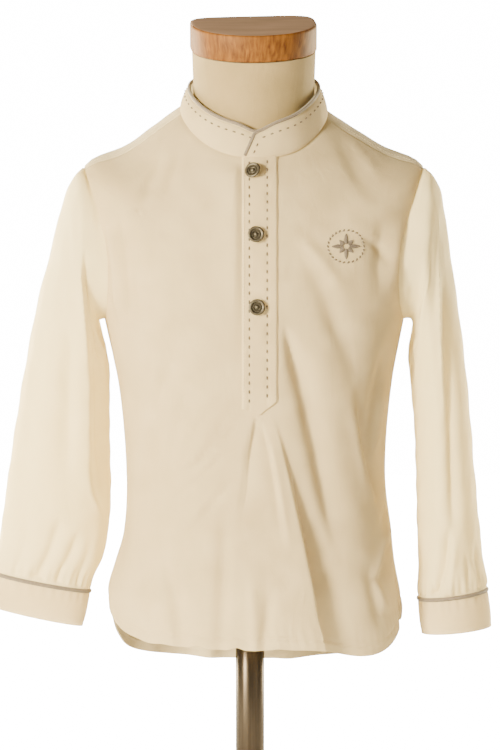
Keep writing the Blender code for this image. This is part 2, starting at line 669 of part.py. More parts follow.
def section_points(section, angles):
    """A sleeve section: an oval between its outer and inner points in the front view."""
    outer = np.array([section.outer_x, 0, section.outer_z])
    inner = np.array([section.inner_x, 0, section.inner_z])
    middle = (outer + inner) / 2 + np.array([0, section.y_mid, 0])
    depth = np.where(np.sin(angles) > 0, section.front, section.back)
    across = np.cos(angles)[:, None] * (outer - inner) / 2
    along = (-np.sin(angles) * depth)[:, None] * np.array([0, 1.0, 0])
    return middle + across + along


def sleeve_fold_push(folds, angles, along):
    """How far a sleeve's folds push its cloth in, at angles round it and a share of its length."""
    total = np.zeros_like(angles)
    for fold in folds:
        share = (along - fold.along0) / (fold.along1 - fold.along0)
        if share <= 0:
            continue
        centre = fold.angle0 + (fold.angle1 - fold.angle0) * min(share, 1)
        away = (np.degrees(angles) - centre + 180) % 360 - 180
        fade = smoothstep(share / 0.35)
        if fold.along1 < 1:
            fade = fade * smoothstep((1 - share) / 0.35)
        total += fold.depth * fade * np.exp(-((away / fold.width_deg) ** 2))
    return total


def tube_normals(outer, side):
    """Outward normals of a sleeve's or a cuff's rings, which turn the other way on the right."""
    return grid_normals(outer, closed=True) * -side


def tube_mesh(name, side, outer, inner):
    """The wall of a sleeve or a cuff, with its columns turned anticlockwise from above."""
    if side > 0:
        outer, inner = outer[:, ::-1], inner[:, ::-1]
    return wall_mesh(name, outer, inner, closed=True)


def make_sleeve(name, side, sections, folds):
    """A sleeve: it starts at the armhole's edge with that edge's thickness, and follows its sections to the cuff."""
    edge_outer, edge_inner, away = armhole_loop(side)
    angles = sleeve_angles()
    rings = [section_points(s, angles) for s in sections]
    outer = np.stack([edge_outer + away * SEAM] + rings)
    normals = tube_normals(outer, side)
    along = np.linspace(0, 1, len(outer))
    for k in range(2, len(outer)):
        outer[k] -= normals[k] * sleeve_fold_push(folds, angles, along[k])[:, None]
    inner = outer - tube_normals(outer, side) * WALL
    inner[0] = edge_inner + away * SEAM
    return tube_mesh(name, side, outer, inner)


def make_cuff(name, side, sections):
    """A cuff: a short tube from under the piping to the wrist, a little full in the middle."""
    angles = sleeve_angles()
    top = section_points(sections[0], angles)
    bottom = section_points(sections[1], angles)
    axis = unit((bottom - top).mean(axis=0))
    top = top + axis * (CUFF_PIPING_HEIGHT + 2.5 * SEAM)
    outer = np.stack([top + (bottom - top) * v for v in np.linspace(0, 1, CUFF_ROWS + 1)])
    normals = tube_normals(outer, side)
    full = CUFF_BULGE * np.sin(np.linspace(0, math.pi, CUFF_ROWS + 1))
    outer = outer + normals * full[:, None, None]
    return tube_mesh(name, side, outer, outer - normals * WALL)


def make_cuff_piping(name, side, sections):
    """The piping between a sleeve and its cuff: a bead that stands a little proud of both."""
    angles = sleeve_angles()
    top = section_points(sections[0], angles)
    bottom = section_points(sections[1], angles)
    axis = unit((bottom - top).mean(axis=0))
    shape = [(0.0, -WALL), (0.0, 0.0), (0.3, 1.0), (0.7, 1.0), (1.0, 0.0), (1.0, -WALL)]
    flat = np.stack([top, top + axis * CUFF_PIPING_HEIGHT])
    normals = tube_normals(flat, side)[0]
    rings = []
    for down, out in shape:
        height = SEAM + down * CUFF_PIPING_HEIGHT
        reach = out if out < 0 else out * CUFF_PIPING_PROUD
        rings.append(top + axis * height + normals * reach)
    outer = np.stack(rings)
    if side > 0:
        outer = outer[:, ::-1]
    return ring_mesh(name, outer)


def ring_mesh(name, loops):
    """A closed ring whose section is the polygon of the loops' points, loops first."""
    count, columns = loops.shape[:2]
    points = loops.reshape(-1, 3)
    faces = []
    for i in range(count):
        for j in range(columns):
            k = (i + 1) % count
            m = (j + 1) % columns
            faces.append([i * columns + j, k * columns + j, k * columns + m, i * columns + m])
    return mesh_object(name, points, faces)


def collar_top(t):
    """Points of the collar's top edge, with its dip at the overlap."""
    front = np.sin(t) < 0
    depth = np.where(np.sin(t) < 0, COLLAR_TOP.front, COLLAR_TOP.back)
    radius = section_radius(t, COLLAR_TOP.half_width, depth, 2.0)
    x = radius * np.cos(t)
    y = radius * np.sin(t)
    tilt = (COLLAR_TOP.back_z - COLLAR_TOP.front_z) / 2
    middle_z = (COLLAR_TOP.back_z + COLLAR_TOP.front_z) / 2
    z = COLLAR_TOP.side_z + tilt * np.sin(t) + (middle_z - COLLAR_TOP.side_z) * np.sin(t) ** 2
    dip = END_DIP * np.exp(-(((x - OVER_END_HIGH_X) / END_DIP_WIDTH) ** 2)) * (np.sin(t) < 0)
    return np.stack([x, y, z - dip], axis=-1)


def collar_angles():
    """Angles of the collar's columns, one row for each of its rows.

    The band starts under its own other end at the front and runs round the neck clockwise from above. Its
    columns stand over those of the panels' top edges, so that the seam keeps its width."""
    v = np.linspace(0, 1, COLLAR_ROWS + 1)
    over_x = OVER_END_LOW_X + (OVER_END_HIGH_X - OVER_END_LOW_X) * v
    under_end = float(angle_at_x(UNDER_END_X, 0.0))
    over_end = angle_at_x(over_x, 0.0)
    front = front_angles([0.0])[0]
    back = back_angles([0.0])[0]
    slit_left = front[COLUMNS_LEFT]
    slit_right = front[COLUMNS_LEFT + COLUMNS_MIDDLE]
    turn = 2 * math.pi
    under_part = np.linspace(under_end, slit_left, UNDER_COLUMNS + 1)[:-1]
    left_part = front[: COLUMNS_LEFT + 1][::-1]
    back_part = back[1:-1][::-1] - turn
    right_part = front[COLUMNS_LEFT + COLUMNS_MIDDLE + 1 :][::-1] - turn
    rows = []
    for end in over_end:
        over_part = np.linspace(slit_right, end, OVER_COLUMNS + 1) - turn
        rows.append(np.concatenate([under_part, left_part, back_part, right_part, over_part]))
    return np.stack(rows)


def collar_grid():
    """The collar band's outer points, bottom row first, and the thickness direction of its bottom row."""
    t = collar_angles()
    v = np.linspace(0, 1, COLLAR_ROWS + 1)
    base = folded_surface(t, np.zeros_like(t))
    n, up = surface_normal(folded_surface, t, np.zeros_like(t))
    start = base + up * SEAM
    share = v[:, None, None]
    points = start + (collar_top(t) - start) * share
    outward = unit(points * np.array([1, 1, 0]))
    points = points + outward * COLLAR_BULGE * 4 * share * (1 - share)
    forward = -np.degrees(t) - 360
    lift = (WALL + 1.25 * LIFT) * smoothstep((forward - OVERLAP_FROM_DEG) / (OVERLAP_TO_DEG - OVERLAP_FROM_DEG))
    direction = np.where(share > 0, outward, n)
    return points + direction * lift[..., None], n[0]


def make_collar():
    outer, base_normal = collar_grid()
    normals = grid_normals(outer, closed=False)
    inner = outer - normals * WALL
    inner[0] = outer[0] - base_normal * WALL
    return wall_mesh("collar", outer, inner)


def make_collar_piping():
    """A thin piping that sits on the collar's top edge, as one closed strip with flat ends."""
    outer, _ = collar_grid()
    normals = grid_normals(outer, closed=False)[-1]
    edge = outer[-1] - normals * WALL / 2
    rise = unit(outer[-1] - outer[-2])
    centre = edge + rise * (PIPING_RADIUS + LIFT)
    corners = [math.radians(30 + 60 * k) for k in range(6)]
    corner_rings = [centre + PIPING_RADIUS * (rise * math.sin(a) + normals * math.cos(a)) for a in corners]
    loops = np.stack(corner_rings)
    count, columns = loops.shape[:2]
    faces = []
    for i in range(count):
        k = (i + 1) % count
        for j in range(columns - 1):
            faces.append([i * columns + j, k * columns + j, k * columns + j + 1, i * columns + j + 1])
    faces.append([i * columns for i in reversed(range(count))])
    faces.append([i * columns + columns - 1 for i in range(count)])
    return mesh_object("collar_piping", loops.reshape(-1, 3), faces)


def strip(name, middle_x, width, r_end, out, columns, pointed):
    """A strip on the front, from the neck seam down. out is how far its outer face stands off the panel's.

    Its rows are the panel's own, but for the last."""
    rows, slit_row = panel_rows()
    u = np.linspace(0, 1, columns + 1)
    x = middle_x - width / 2 + width * u
    end_z = body_surface(-math.pi / 2, r_end)[2]
    corners = np.zeros_like(u)
    if pointed:
        corners = np.interp(u, [0, 0.5, 1], [PLACKET_LEFT_CORNER, 0, PLACKET_CORNER])
    outer = np.zeros((slit_row + 1, len(u), 3))
    inner = np.zeros_like(outer)
    for j, (across, corner) in enumerate(zip(x, corners)):
        _, r_low = locate_front(across, end_z + corner)
        r = np.append(rows[:slit_row], r_low)
        t = angle_at_x(np.full_like(r, across), r)
        n, _ = surface_normal(folded_surface, t, r)
        point = folded_surface(t, r)
        outer[:, j] = point + n * out
        inner[:, j] = point + n * (out - WALL)
    return wall_mesh(name, outer, inner)


def make_placket():
    return strip("placket", PLACKET_X, PLACKET_WIDTH, R_PLACKET, WALL + LIFT, 6, True)


def make_under_placket():
    return strip("placket_under", PLACKET_X, UNDER_WIDTH, R_SLIT, -WALL - LIFT, 4, False)


def turned_object(name, outline, steps):
    """A turned solid: the outline, from the top of its axis to the bottom, carried round Z."""
    mesh = bpy.data.meshes.new(name)
    points = [(p[0], 0, p[1]) for p in outline]
    mesh.from_pydata(points, [(i, i + 1) for i in range(len(points) - 1)], [])
    item = bpy.data.objects.new(name, mesh)
    screw = item.modifiers.new("turn", "SCREW")
    screw.steps = steps
    screw.render_steps = steps
    screw.use_merge_vertices = True
    screw.merge_threshold = 0.00001
    return item


def make_button(stud):
    item = turned_object(stud.name, BUTTON_OUTLINE, BUTTON_STEPS)
    t, r = locate_front(stud.x, stud.z)
    n, up = surface_normal(folded_surface, t, r)
    point = folded_surface(t, r) + n * (WALL + 2 * LIFT)
    facing = Matrix.Rotation(math.radians(stud.turn_deg), 3, Vector(up)) @ Vector(n)
    axes = facing.to_track_quat("Z", "Y").to_matrix().to_4x4()
    lift = Matrix.Translation(Vector(n) * abs(math.sin(math.radians(stud.turn_deg))) * BUTTON_TILT_LIFT)
    item.matrix_world = lift @ Matrix.Translation(Vector(point)) @ axes
    return item


def form_surface(t, r):
    """The form's skin: the shirt's smooth surface moved in by the wall and a gap that grows down the body."""
    p = body_surface(t, r)
    n, _ = surface_normal(body_surface, t, r)
    sides = np.cos(t) ** 2
    front = column(FORM_GAPS, "r", "front", r)
    back = column(FORM_GAPS, "r", "back", r)
    gap = column(FORM_GAPS, "r", "side", r) * sides + np.where(np.sin(t) < 0, front, back) * (1 - sides)
    return p - n * (WALL + gap)[..., None]


def oval(t, half_width, front_y, back_y, square_front, square_back):
    """A flat outline round the axis: x and y for each angle."""
    front = np.sin(t) < 0
    front_radius = section_radius(t, half_width, -front_y, square_front)
    back_radius = section_radius(t, half_width, back_y, square_back)
    radius = np.where(front, front_radius, back_radius)
    return radius * np.cos(t), radius * np.sin(t)


def neck_ring(t, ring):
    x, y = oval(t, ring.half_width, ring.front_y, ring.back_y, NECK_SQUARE_FRONT, ring.square_back)
    middle_z = (ring.front_z + ring.back_z) / 2
    z = ring.side_z + (ring.back_z - ring.front_z) / 2 * np.sin(t) + (middle_z - ring.side_z) * np.sin(t) ** 2
    return np.stack([x, y, z], axis=-1)


def make_form():
    """The padded torso and neck, one smooth solid with a flat underside and a flat, tilted neck top."""
    t = np.arange(FORM_COLUMNS) * 2 * math.pi / FORM_COLUMNS
    x, y = oval(t, NECK_HALF_WIDTH, NECK_FRONT_Y, NECK_BACK_Y, NECK_SQUARE_FRONT, NECK_SQUARE_BACK)
    rings = [np.stack([x, y, NECK_TOP_Z + y * math.tan(CAP_TILT)], axis=-1)]
    rings += [neck_ring(t, ring) for ring in reversed(NECK)]
    rings += [form_surface(t, np.full_like(t, r)) for r in np.linspace(FORM_TOP_R, FORM_LOW_R, FORM_RINGS)]
    for ring in FORM_FLOOR:
        x, y = oval(t, ring.half_width, ring.front_y, ring.back_y, FLOOR_SQUARE, FLOOR_SQUARE)
        rings.append(np.stack([x, y, np.full_like(x, ring.z)], axis=-1))
    loops = np.stack(rings)
    faces = []
    for i in range(len(loops) - 1):
        for j in range(FORM_COLUMNS):
            m = (j + 1) % FORM_COLUMNS
            low = (i + 1) * FORM_COLUMNS
            faces.append([i * FORM_COLUMNS + j, low + j, low + m, i * FORM_COLUMNS + m])
    last = (len(loops) - 1) * FORM_COLUMNS
    faces.append(list(range(FORM_COLUMNS)))
    faces.append([last + j for j in reversed(range(FORM_COLUMNS))])
    return mesh_object("form_body", loops.reshape(-1, 3), faces)


def make_cap():
    """The wooden neck cap: a half-round block with a straight back, on the tilted neck top."""
    count = CAP_COLUMNS
    t = np.arange(count) * 2 * math.pi / count
    half_width = NECK_HALF_WIDTH + CAP_OVERHANG
    front_y = NECK_FRONT_Y - CAP_OVERHANG
    x, y = oval(t, half_width, front_y, NECK_BACK_Y + CAP_OVERHANG, NECK_SQUARE_FRONT, NECK_SQUARE_BACK)
    low = [(a, b, 0.0) for a, b in zip(x, y)]
    high = [(a, b, CAP_THICKNESS) for a, b in zip(x, y)]
    faces = [[j, (j + 1) % count, count + (j + 1) % count, count + j] for j in range(count)]
    faces += [list(reversed(range(count))), list(range(count, 2 * count))]
    item = mesh_object("neck_cap", low + high, faces)
    bevel = item.modifiers.new("round", "BEVEL")
    bevel.width = CAP_EDGE
    bevel.segments = 2
    bevel.limit_method = "ANGLE"
    turned = Matrix.Rotation(CAP_TILT, 4, "X") @ Matrix.Rotation(CAP_TURN, 4, "Z")
    lifted = Matrix.Translation((0, -math.sin(CAP_TILT) * CONTACT, NECK_TOP_Z + math.cos(CAP_TILT) * CONTACT))
    item.matrix_world = lifted @ turned
    return item


def make_base():
    """The round foot with a short boss for the pole."""
    return turned_object("stand_base", BASE_OUTLINE, BASE_STEPS)


def make_pole():
    top = FORM_FLOOR_Z - CONTACT
    foot = POLE_FOOT_Z + CONTACT
    outline = [(0.0, top), (POLE_RADIUS, top), (POLE_RADIUS, foot), (0.0, foot)]
    return turned_object("stand_pole", outline, POLE_STEPS)


def main():
    clear_scene()
    collection = bpy.data.collections.new("long_sleeve_shirt_on_dress_form")
    bpy.context.scene.collection.children.link(collection)
    cloth = make_material("shirt_cloth", **CLOTH)
    trim = make_material("trim", **TRIM)
    metal = make_material("button_metal", **BUTTON)
    linen = make_material("form_linen", **LINEN)
    wood = make_material("cap_wood", **WOOD)
    steel = make_material("stand_steel", **STEEL)

    shirt = bpy.data.objects.new("shirt", None)
    stand = bpy.data.objects.new("dress_form", None)
    collection.objects.link(shirt)
    collection.objects.link(stand)

    rows, slit_row = panel_rows()
    dress(make_front(rows, slit_row), collection, cloth, shirt, AXIS_X)
    dress(make_back(rows), collection, cloth, shirt, AXIS_X)
    left_sections = LEFT_SLEEVE + LEFT_CUFF[:1]
    right_sections = RIGHT_SLEEVE + RIGHT_CUFF[:1]
    dress(make_sleeve("sleeve_left", -1, left_sections, LEFT_SLEEVE_FOLDS), collection, cloth, shirt, AXIS_X)
    dress(make_sleeve("sleeve_right", 1, right_sections, RIGHT_SLEEVE_FOLDS), collection, cloth, shirt, AXIS_X)
    dress(make_cuff("cuff_left", -1, LEFT_CUFF), collection, cloth, shirt, AXIS_X)
    dress(make_cuff("cuff_right", 1, RIGHT_CUFF), collection, cloth, shirt, AXIS_X)
    dress(make_cuff_piping("cuff_piping_left", -1, LEFT_CUFF), collection, trim, shirt, AXIS_X)
    dress(make_cuff_piping("cuff_piping_right", 1, RIGHT_CUFF), collection, trim, shirt, AXIS_X)
    dress(make_collar(), collection, cloth, shirt, AXIS_X)
    dress(make_collar_piping(), collection, trim, shirt, AXIS_X)
    dress(make_placket(), collection, cloth, shirt, AXIS_X)
    dress(make_under_placket(), collection, cloth, shirt, AXIS_X)
    for stud in BUTTONS:
        dress(make_button(stud), collection, metal, shirt, AXIS_X)

    dress(make_form(), collection, linen, stand, AXIS_X)
    dress(make_cap(), collection, wood, stand, AXIS_X)
    dress(make_pole(), collection, steel, stand, 0)
    dress(make_base(), collection, steel, stand, 0)


main()
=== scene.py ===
"""The look of the child's long-sleeve shirt on its dress form: cloth, sewing, buttons, form, stand and light.

Each cut piece is a thin cloth shell that stands for its solid in the frame. The front and the back are read
from one body surface, by an angle round the body and a distance down from the neck seam, and their folds are
placed in the front view. Metres, +Z up. The front faces -Y, and +X is the viewer's right.
"""

import math
from collections import namedtuple

import bpy
import numpy as np
from mathutils import Matrix, Vector


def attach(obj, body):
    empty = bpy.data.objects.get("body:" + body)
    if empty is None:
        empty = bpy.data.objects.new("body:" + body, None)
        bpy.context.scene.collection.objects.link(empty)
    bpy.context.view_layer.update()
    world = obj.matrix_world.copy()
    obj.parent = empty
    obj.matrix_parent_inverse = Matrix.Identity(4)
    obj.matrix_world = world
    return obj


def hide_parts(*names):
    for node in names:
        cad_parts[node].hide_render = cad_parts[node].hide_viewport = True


# Cloth and seams
CLOTH = 0.0007  # thickness of one layer of the shirt's cloth
HEMMED = 0.0016  # thickness where the cloth is turned up
BAND = 0.0013  # thickness of the collar and the cuffs, which are two layers
LAYER_GAP = 0.0004  # air between two layers that lie on each other
SEAM_DIP = 0.0007  # how deep a panel's edge rolls into its seam
SEAM_WIDTH = 0.0016
LEAN = 0.03  # the neckline is lower on the viewer's right by this share of its width
LEAN_TO = 0.12
AXIS_X = 0.0030  # the form and the shirt stand this far to the right of the pole's middle

# Places down the body surface, from 0 at the neck seam to 1 at the hem
R_TIP = 0.20
R_PIT = 0.42
R_SLIT = 0.545
R_PLACKET = 0.5585
R_SIDE_SLIT = 0.90
SIDE_SLIT_OPEN = 0.0025
ROWS_SHOULDER = 26
ROWS_ARMHOLE = 80
ROWS_BODY = 84
ROWS_HEM = 26
R_HEM_ROWS = 0.93

# Columns across the panels
COLUMNS_LEFT = 58
COLUMNS_MIDDLE = 34
COLUMNS_WALL = 10
COLUMNS_RIGHT = 80
COLUMNS_BACK = 150

# How much closer rows and columns lie at both ends, and the steps in which places on the front are searched
PANEL_DENSE = 0.5
SHOULDER_DENSE = 0.6
STRIP_DENSE = 0.6
SLEEVE_DENSE = 0.75
ANGLE_STEPS = 12
HALVINGS = 26

# Armhole: how far it opens in front of and behind its seam line, in degrees round the body
ARMHOLE_FRONT = 18.0
ARMHOLE_BACK = 21.0

# Hem
HEM_HEIGHT = 0.0080
HEM_STEP = 0.02  # the hem's height is measured over this last share of the body surface
HEM_GROOVE = 0.0009
HEM_GROOVE_WIDTH = 0.0013
PUCKER = 0.00045
PUCKER_LENGTH = 0.0052
PUCKER_REACH = 0.0090
PUCKER_X = 0.0340
PUCKER_SPREAD = 0.0180
PUCKER_ALL = 0.25  # strength of the puckers all along the hem, and what is added at PUCKER_X
PUCKER_MORE = 0.9

# Placket
PLACKET_X = 0.0042
PLACKET_WIDTH = 0.0268
PLACKET_THICK = 0.0012
PLACKET_LIFT = 0.0016  # its outer face stands this far off the front's
RIDGE_HEIGHT = 0.0030  # the front folds up along the placket's left edge
RIDGE_WIDTH = 0.0032
RIDGE_SPREAD = 0.0100
RIDGE_TOP_Z = 0.5580
RIDGE_TOP_FADE = 0.012
RIDGE_LOW_Z = 0.3900
RIDGE_LOW_FADE = 0.110
PLACKET_HOLLOW = 0.0007
PLACKET_HOLLOW_WIDTH = 0.0075
PLACKET_CORNER = 0.0105
PLACKET_LEFT_CORNER = 0.0045
PLACKET_COLUMNS = 30
PLACKET_ROWS = 190
PLACKET_DENT = 0.00035  # the running stitches draw the cloth in
PLACKET_DENT_WIDTH = 0.0013
PRESSED_EDGE = 0.0007
PRESSED_EDGE_WIDTH = 0.0009
PLACKET_WAVER = 0.0002
UNDER_WIDTH = 0.0230
UNDER_COLUMNS = 16
UNDER_ROWS = 120
STITCH_LINE_LEFT = 0.0056  # the two lines of running stitches, in from the placket's edges
STITCH_LINE_RIGHT = 0.0078
EDGE_STITCH = 0.0016  # the machine stitches, in from the placket's edges
PLACKET_TOP_Z = 0.5560  # both kinds of stitches start about here

# Collar. Places on its band are shares of its length, u, and of its height, v
COLLAR_COLUMNS = 361
COLLAR_ROWS = 20
COLLAR_BULGE = 0.0012
COLLAR_FOOT_V = 0.08
COLLAR_GROOVE = 0.0004  # under the piping
COLLAR_GROOVE_V = 0.97
COLLAR_GROOVE_WIDTH = 0.03
OVER_END_LOW_X = -0.0060
OVER_END_HIGH_X = 0.0020
UNDER_END_X = 0.0120
END_DIP = 0.0050
END_DIP_WIDTH = 0.010
OVERLAP_FROM = 35.0  # the over end is lifted off the under end between these angles, in degrees
OVERLAP_TO = 57.0
END_ROUND_U = 0.009  # the over end's rounded corner
END_ROUND_V = 0.12
PIPING_RADIUS = 0.0014
PIPING_SIDES = 10
PIPING_TOP_STEPS = 420
PIPING_ROUND_STEPS = 14
PIPING_END_STEPS = 30
PIPING_END_V = 0.06
PIPING_IN = 0.35  # share of the band's thickness that the piping's middle lies in from its face
PIPING_OUT = 0.8  # share of its radius that the piping's middle lies out from the edge
COLLAR_STITCH_V = 0.76
COLLAR_STITCH_U = 0.012  # the running stitches start this far from the band's ends
END_STITCH_TOP_V = 0.64
END_STITCH_LOW_V = 0.10

# Cuffs
CUFF_BULGE = 0.0008
CUFF_PUCKERS = 26
CUFF_PUCKER = 0.0004
CUFF_PUCKER_V = 0.45  # the puckers fade out this far down the cuff
CUFF_STITCH_V = 0.90
CUFF_GROOVE = 0.0003
CUFF_GROOVE_WIDTH = 0.035
CUFF_PIPING_RADIUS = 0.00170
CUFF_PIPING_SIDES = 12
CUFF_PIPING_HEIGHT = 0.0028
CUFF_PIPING_SUNK = 0.15  # share of the piping's radius that is sunk in the seam

# Pleat under the placket
PLEAT_POINT_Z = 0.3625
PLEAT_HEM_Z = 0.1875
PLEAT_GROWTH = 1.3
PLEAT_DEPTH = 0.0125
PLEAT_WALL_WIDTH = 0.0045
PLEAT_WALL_DEG = 3.2
PLEAT_ROLL_WIDTH = 0.048
PLEAT_RIDGE = 0.0015
PLEAT_RIDGE_LEFT = 0.014
PLEAT_RIDGE_RIGHT = 0.002
PLEAT_RIDGE_GROWTH = 0.03

# Unevenness of the cloth
UNEVEN = 0.0005
SLEEVE_ABOUT = (0.3, 0.04)  # rough length and radius of a sleeve, which give its unevenness its scale
CRUMPLE = 0.0013  # height of the fine crumpling in the cloth's material
CRUMPLE_STRETCH = (1.0, 1.0, 0.35)  # the crumples run mostly up and down
CRUMPLE_SCALE = 80.0
PATCH_SCALE = 38.0  # of the soft patches in the cloth's colour
SLUB_SCALE = 900.0  # of the unevenness of its threads
RELIEF = 0.0002  # height of a thread's twist and of wood grain

# Where folds fade out: beside the placket, at the sides and at the neck
FLAT_MARGIN = 0.001
FLAT_FADE = 0.008
SIDE_FADE = 0.30
NECK_FADE = 0.05

# Buttons, stand and neck cap
BUTTON_RADIUS = 0.0062
BUTTON_STEPS = 64
BUTTON_TILT_LIFT = 0.0016  # a turned button stands off the cloth by this, times the sine of its turn
SHANK_SUNK = 0.0013  # the shank sinks into the placket
BASE_RADIUS = 0.140
BASE_STEPS = 128
POLE_RADIUS = 0.0113
POLE_STEPS = 96
POLE_CHAMFER = 0.0004
POLE_FOOT_Z = 0.0220
FORM_FLOOR_Z = 0.2120
CAP_COLUMNS = 200
CAP_THICKNESS = 0.0210
CAP_TILT = math.radians(15.0)
CAP_TURN = math.radians(6.0)
CAP_OVERHANG = 0.0008
NECK_TOP_Z = 0.6405
CONTACT = 0.0003  # air between solids that rest on each other

# Body rings: heights at the side, the front and the back, half width, depths and shape
Ring = namedtuple(
    "Ring",
    "r side_z front_z back_z half_width front_y back_y square bend_front bend_back slope_front slope_back",
)
BODY = [
    Ring(0.00, 0.5930, 0.5570, 0.6010, 0.0575, -0.0560, 0.0520, 2.0, 1.5, 1.5, 0.0, 0.0),
    Ring(0.06, 0.5775, 0.5350, 0.5900, 0.0800, -0.0670, 0.0620, 2.0, 1.7, 1.7, 0.0, 0.0),
    Ring(0.13, 0.5625, 0.5100, 0.5740, 0.1035, -0.0755, 0.0710, 2.0, 1.9, 1.9, 0.0, 0.0),
    Ring(0.20, 0.5500, 0.4850, 0.5520, 0.1320, -0.0800, 0.0770, 2.0, 2.0, 2.0, 0.0, 0.0),
    Ring(0.31, 0.4930, 0.4560, 0.4950, 0.1290, -0.0830, 0.0805, 2.2, 2.0, 2.0, 0.0, 0.0),
    Ring(0.42, 0.4320, 0.4300, 0.4340, 0.1170, -0.0850, 0.0805, 2.3, 2.0, 2.0, 0.0, 0.0),
    Ring(0.53, 0.3780, 0.3780, 0.3780, 0.1065, -0.0870, 0.0780, 2.3, 2.0, 2.0, 0.0, 0.0),
    Ring(0.65, 0.3140, 0.3140, 0.3140, 0.1015, -0.0890, 0.0765, 2.3, 2.0, 2.0, 0.0, 0.0),
    Ring(0.77, 0.2660, 0.2640, 0.2600, 0.1050, -0.0925, 0.0790, 2.3, 2.0, 3.0, 0.0, 0.0),
    Ring(0.87, 0.2400, 0.2330, 0.2150, 0.1100, -0.0950, 0.0825, 2.3, 3.0, 6.0, 0.2, 0.05),
    Ring(0.94, 0.2210, 0.2070, 0.1800, 0.1145, -0.0965, 0.0855, 2.3, 4.5, 9.0, 0.3, 0.08),
    Ring(1.00, 0.2060, 0.1845, 0.1490, 0.1155, -0.0975, 0.0880, 2.3, 5.5, 12.0, 0.35, 0.08),
]
Sway = namedtuple("Sway", "r x")
SWAY = [  # the body's middle line, to the right of its axis
    Sway(0.00, 0.0000),
    Sway(0.42, 0.0003),
    Sway(0.53, 0.0010),
    Sway(0.65, 0.0015),
    Sway(0.77, 0.0030),
    Sway(0.87, 0.0008),
    Sway(0.94, 0.0000),
    Sway(1.00, 0.0015),
]
HEM_DROP = 0.0130  # the front's lower right corner hangs down
HEM_DROP_X = 0.098
HEM_DROP_WIDTH = 0.036
HEM_DROP_FROM = 0.80
HemRise = namedtuple("HemRise", "x height width")
HEM_RISES = [  # small dips upwards in the front's hem
    HemRise(-0.0700, 0.0010, 0.0070),
    HemRise(-0.0445, 0.0024, 0.0058),
    HemRise(-0.0150, 0.0022, 0.0046),
    HemRise(0.0170, 0.0010, 0.0060),
]
HEM_RISES_FROM = 0.94

# The seam line between front and back, in degrees forward of the body's side
SeamLine = namedtuple("SeamLine", "r right_deg left_deg")
SEAM_LINE = [
    SeamLine(0.00, 8.0, 8.0),
    SeamLine(0.20, 3.0, 3.0),
    SeamLine(0.42, 5.0, 4.0),
    SeamLine(0.70, 9.0, 4.0),
    SeamLine(1.00, 12.0, 5.0),
]

# Edges of the box pleat, seen from the front
PleatLine = namedtuple("PleatLine", "z left_x right_x")
PLEAT_LINES = [
    PleatLine(0.1500, -0.0250, 0.0600),
    PleatLine(0.1888, -0.0205, 0.0530),
    PleatLine(0.2047, -0.0190, 0.0486),
    PleatLine(0.2342, -0.0160, 0.0436),
    PleatLine(0.2682, -0.0130, 0.0362),
    PleatLine(0.3050, -0.0060, 0.0280),
    PleatLine(0.3437, -0.0030, 0.0188),
    PleatLine(0.3640, -0.0033, 0.0125),
    PleatLine(0.6000, -0.0033, 0.0117),
]

